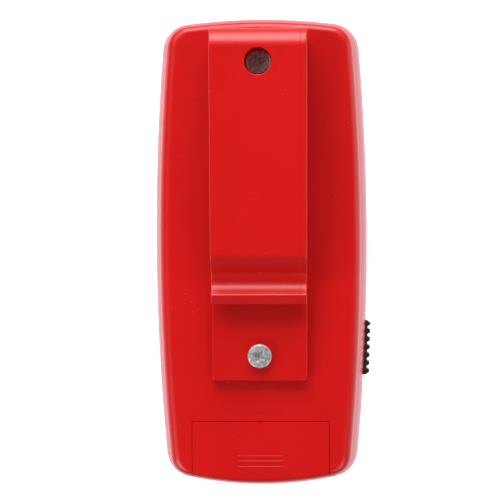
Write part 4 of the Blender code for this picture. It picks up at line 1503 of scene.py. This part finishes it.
# ---------------------------------------------------------------- studio
@dataclass
class Studio:
    """Camera, soft lights and a pale bowl of a backdrop that closes round the object, its floor darkened by
    painted shade.
    """

    distance: float = 626 * MM
    lens_mm: float = 193.0
    aside_deg: float = 2.5
    above_deg: float = 1.4
    roll_deg: float = -0.23
    aim: Vector = field(default_factory=lambda: Vector((2.3 * MM, -4.8 * MM, -49.5 * MM)))
    bowl_radius: float = 1.7
    bowl_bend: float = 0.5
    wall_rise: float = 1.6
    floor_drop: float = 0.75
    grey: float = 0.08
    glow: float = 0.8
    surround: float = 0.5

    def build(self) -> None:
        """Set the studio up."""
        self.camera()
        self.backdrop()
        self.lights()
        bpy.context.scene.view_settings.view_transform = "Standard"

    def camera(self) -> None:
        """Place the camera behind the object, a little above it and to the switch's side."""
        data = bpy.data.cameras.new("camera")
        data.lens = self.lens_mm
        data.sensor_width = 36.0
        camera = bpy.data.objects.new("camera", data)
        bpy.context.scene.collection.objects.link(camera)
        aside = math.radians(self.aside_deg)
        above = math.radians(self.above_deg)
        way = Vector((-math.sin(aside) * math.cos(above), math.cos(aside) * math.cos(above), math.sin(above)))
        camera.location = self.aim + way * self.distance
        roll = Matrix.Rotation(math.radians(self.roll_deg), 3, "Z")
        turn = (-way).to_track_quat("-Z", "Y").to_matrix() @ roll
        camera.rotation_euler = turn.to_euler()
        bpy.context.scene.camera = camera

    def backdrop(self) -> None:
        """Build the floor and the wall that curves up from it all round."""
        low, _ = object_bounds()
        floor = low.z - self.floor_drop
        radius, bend = self.bowl_radius, self.bowl_bend
        rise = sweep((radius - bend, floor + bend), bend, -math.pi / 2, 0, 12)
        profile = [(0.002, floor), (0.4, floor), (0.9, floor), *rise, (radius, floor + self.wall_rise)]
        bowl = Bench.turned("backdrop", profile, Vector((0, 0, 0)), Axis.Z, 96, capped=False)
        bpy.ops.object.shade_smooth()
        bowl.data.materials.append(self.paper())
        bowl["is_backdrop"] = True

    def paper(self) -> bpy.types.Material:
        """Build the backdrop's paper: white behind the object, grey on the camera's side, with painted shade
        darkening the floor.

        Returns:
            The material.
        """
        material, tree, shader, at = new_material("backdrop_paper")
        across = add_node(tree, "ShaderNodeSeparateXYZ", {}, {"Vector": at})
        # The 'low' fade is painted shade: it darkens the paper towards the floor's lowest part, standing in
        # for the floor lying in shade.
        fades = {"shade": ("Y", -0.35, 0.35, 0.95, self.grey), "low": ("Z", -0.85, -0.4, 0.2, 1.0),
                 "glow": ("Y", -0.7, 0.3, self.glow, 0.0)}
        fade = {name: add_node(tree, "ShaderNodeMapRange",
                               {"interpolation_type": "SMOOTHSTEP", "From Min": start, "From Max": end,
                                "To Min": first, "To Max": last},
                               {"Value": (across, axis)})
                for name, (axis, start, end, first, last) in fades.items()}
        # Grey paper times the painted floor shade.
        grey = add_node(tree, "ShaderNodeMath", {"operation": "MULTIPLY"},
                        {0: (fade["shade"], "Result"), 1: (fade["low"], "Result")})
        feed(tree, shader, {"Base Color": (grey, 0), "Emission Strength": (fade["glow"], "Result")})
        shader.inputs["Emission Color"].default_value = linear("F1F6FF")
        shader.inputs["Roughness"].default_value = 0.9
        return material

    def lights(self) -> None:
        """Hang a key above the camera's left, fills below and beside it, a top light and a pale surround."""
        world = bpy.data.worlds.new("surround")
        world.use_nodes = True
        background = world.node_tree.nodes["Background"]
        background.inputs["Color"].default_value = (1, 1, 1, 1)
        background.inputs["Strength"].default_value = self.surround
        bpy.context.scene.world = world
        centre = Vector((0, 0, -50 * MM))
        for name, place, size, power in (("key", (0.6, 0.7, 0.45), 0.55, 1.5),
                                         ("fill", (0.6, 0.5, -0.5), 0.5, 4.2),
                                         ("kick", (-0.5, 0.6, -0.55), 0.5, 2.6),
                                         ("side", (-0.85, 0.2, 0.1), 0.5, 1.0),
                                         ("top", (0.05, 0.4, 0.85), 0.8, 11.5)):
            data = bpy.data.lights.new(name, "AREA")
            data.shape = "SQUARE"
            data.size = size
            data.energy = power
            lamp = bpy.data.objects.new(name, data)
            lamp.location = centre + Vector(place)
            lamp.rotation_euler = (-Vector(place)).to_track_quat("-Z", "Y").to_euler()
            bpy.context.scene.collection.objects.link(lamp)


def main() -> None:
    """Build the metronome and its studio."""
    finishes = Finishes()
    Covers(CaseShape.from_frame(), finishes).build()
    BeltClip(finishes).build()
    PanHeadScrew("clip_screw_lower", "lower_screw", 22.0).build(finishes)
    PanHeadScrew("clip_screw_upper", "upper_screw", -32.0).build(finishes)
    SlideKnob(finishes).build()
    TempoDial(finishes).build()
    Inside(finishes).build()
    Studio().build()


if __name__ == "__main__":
    logging.basicConfig(level=logging.INFO, format="%(name)s: %(message)s")
    main()
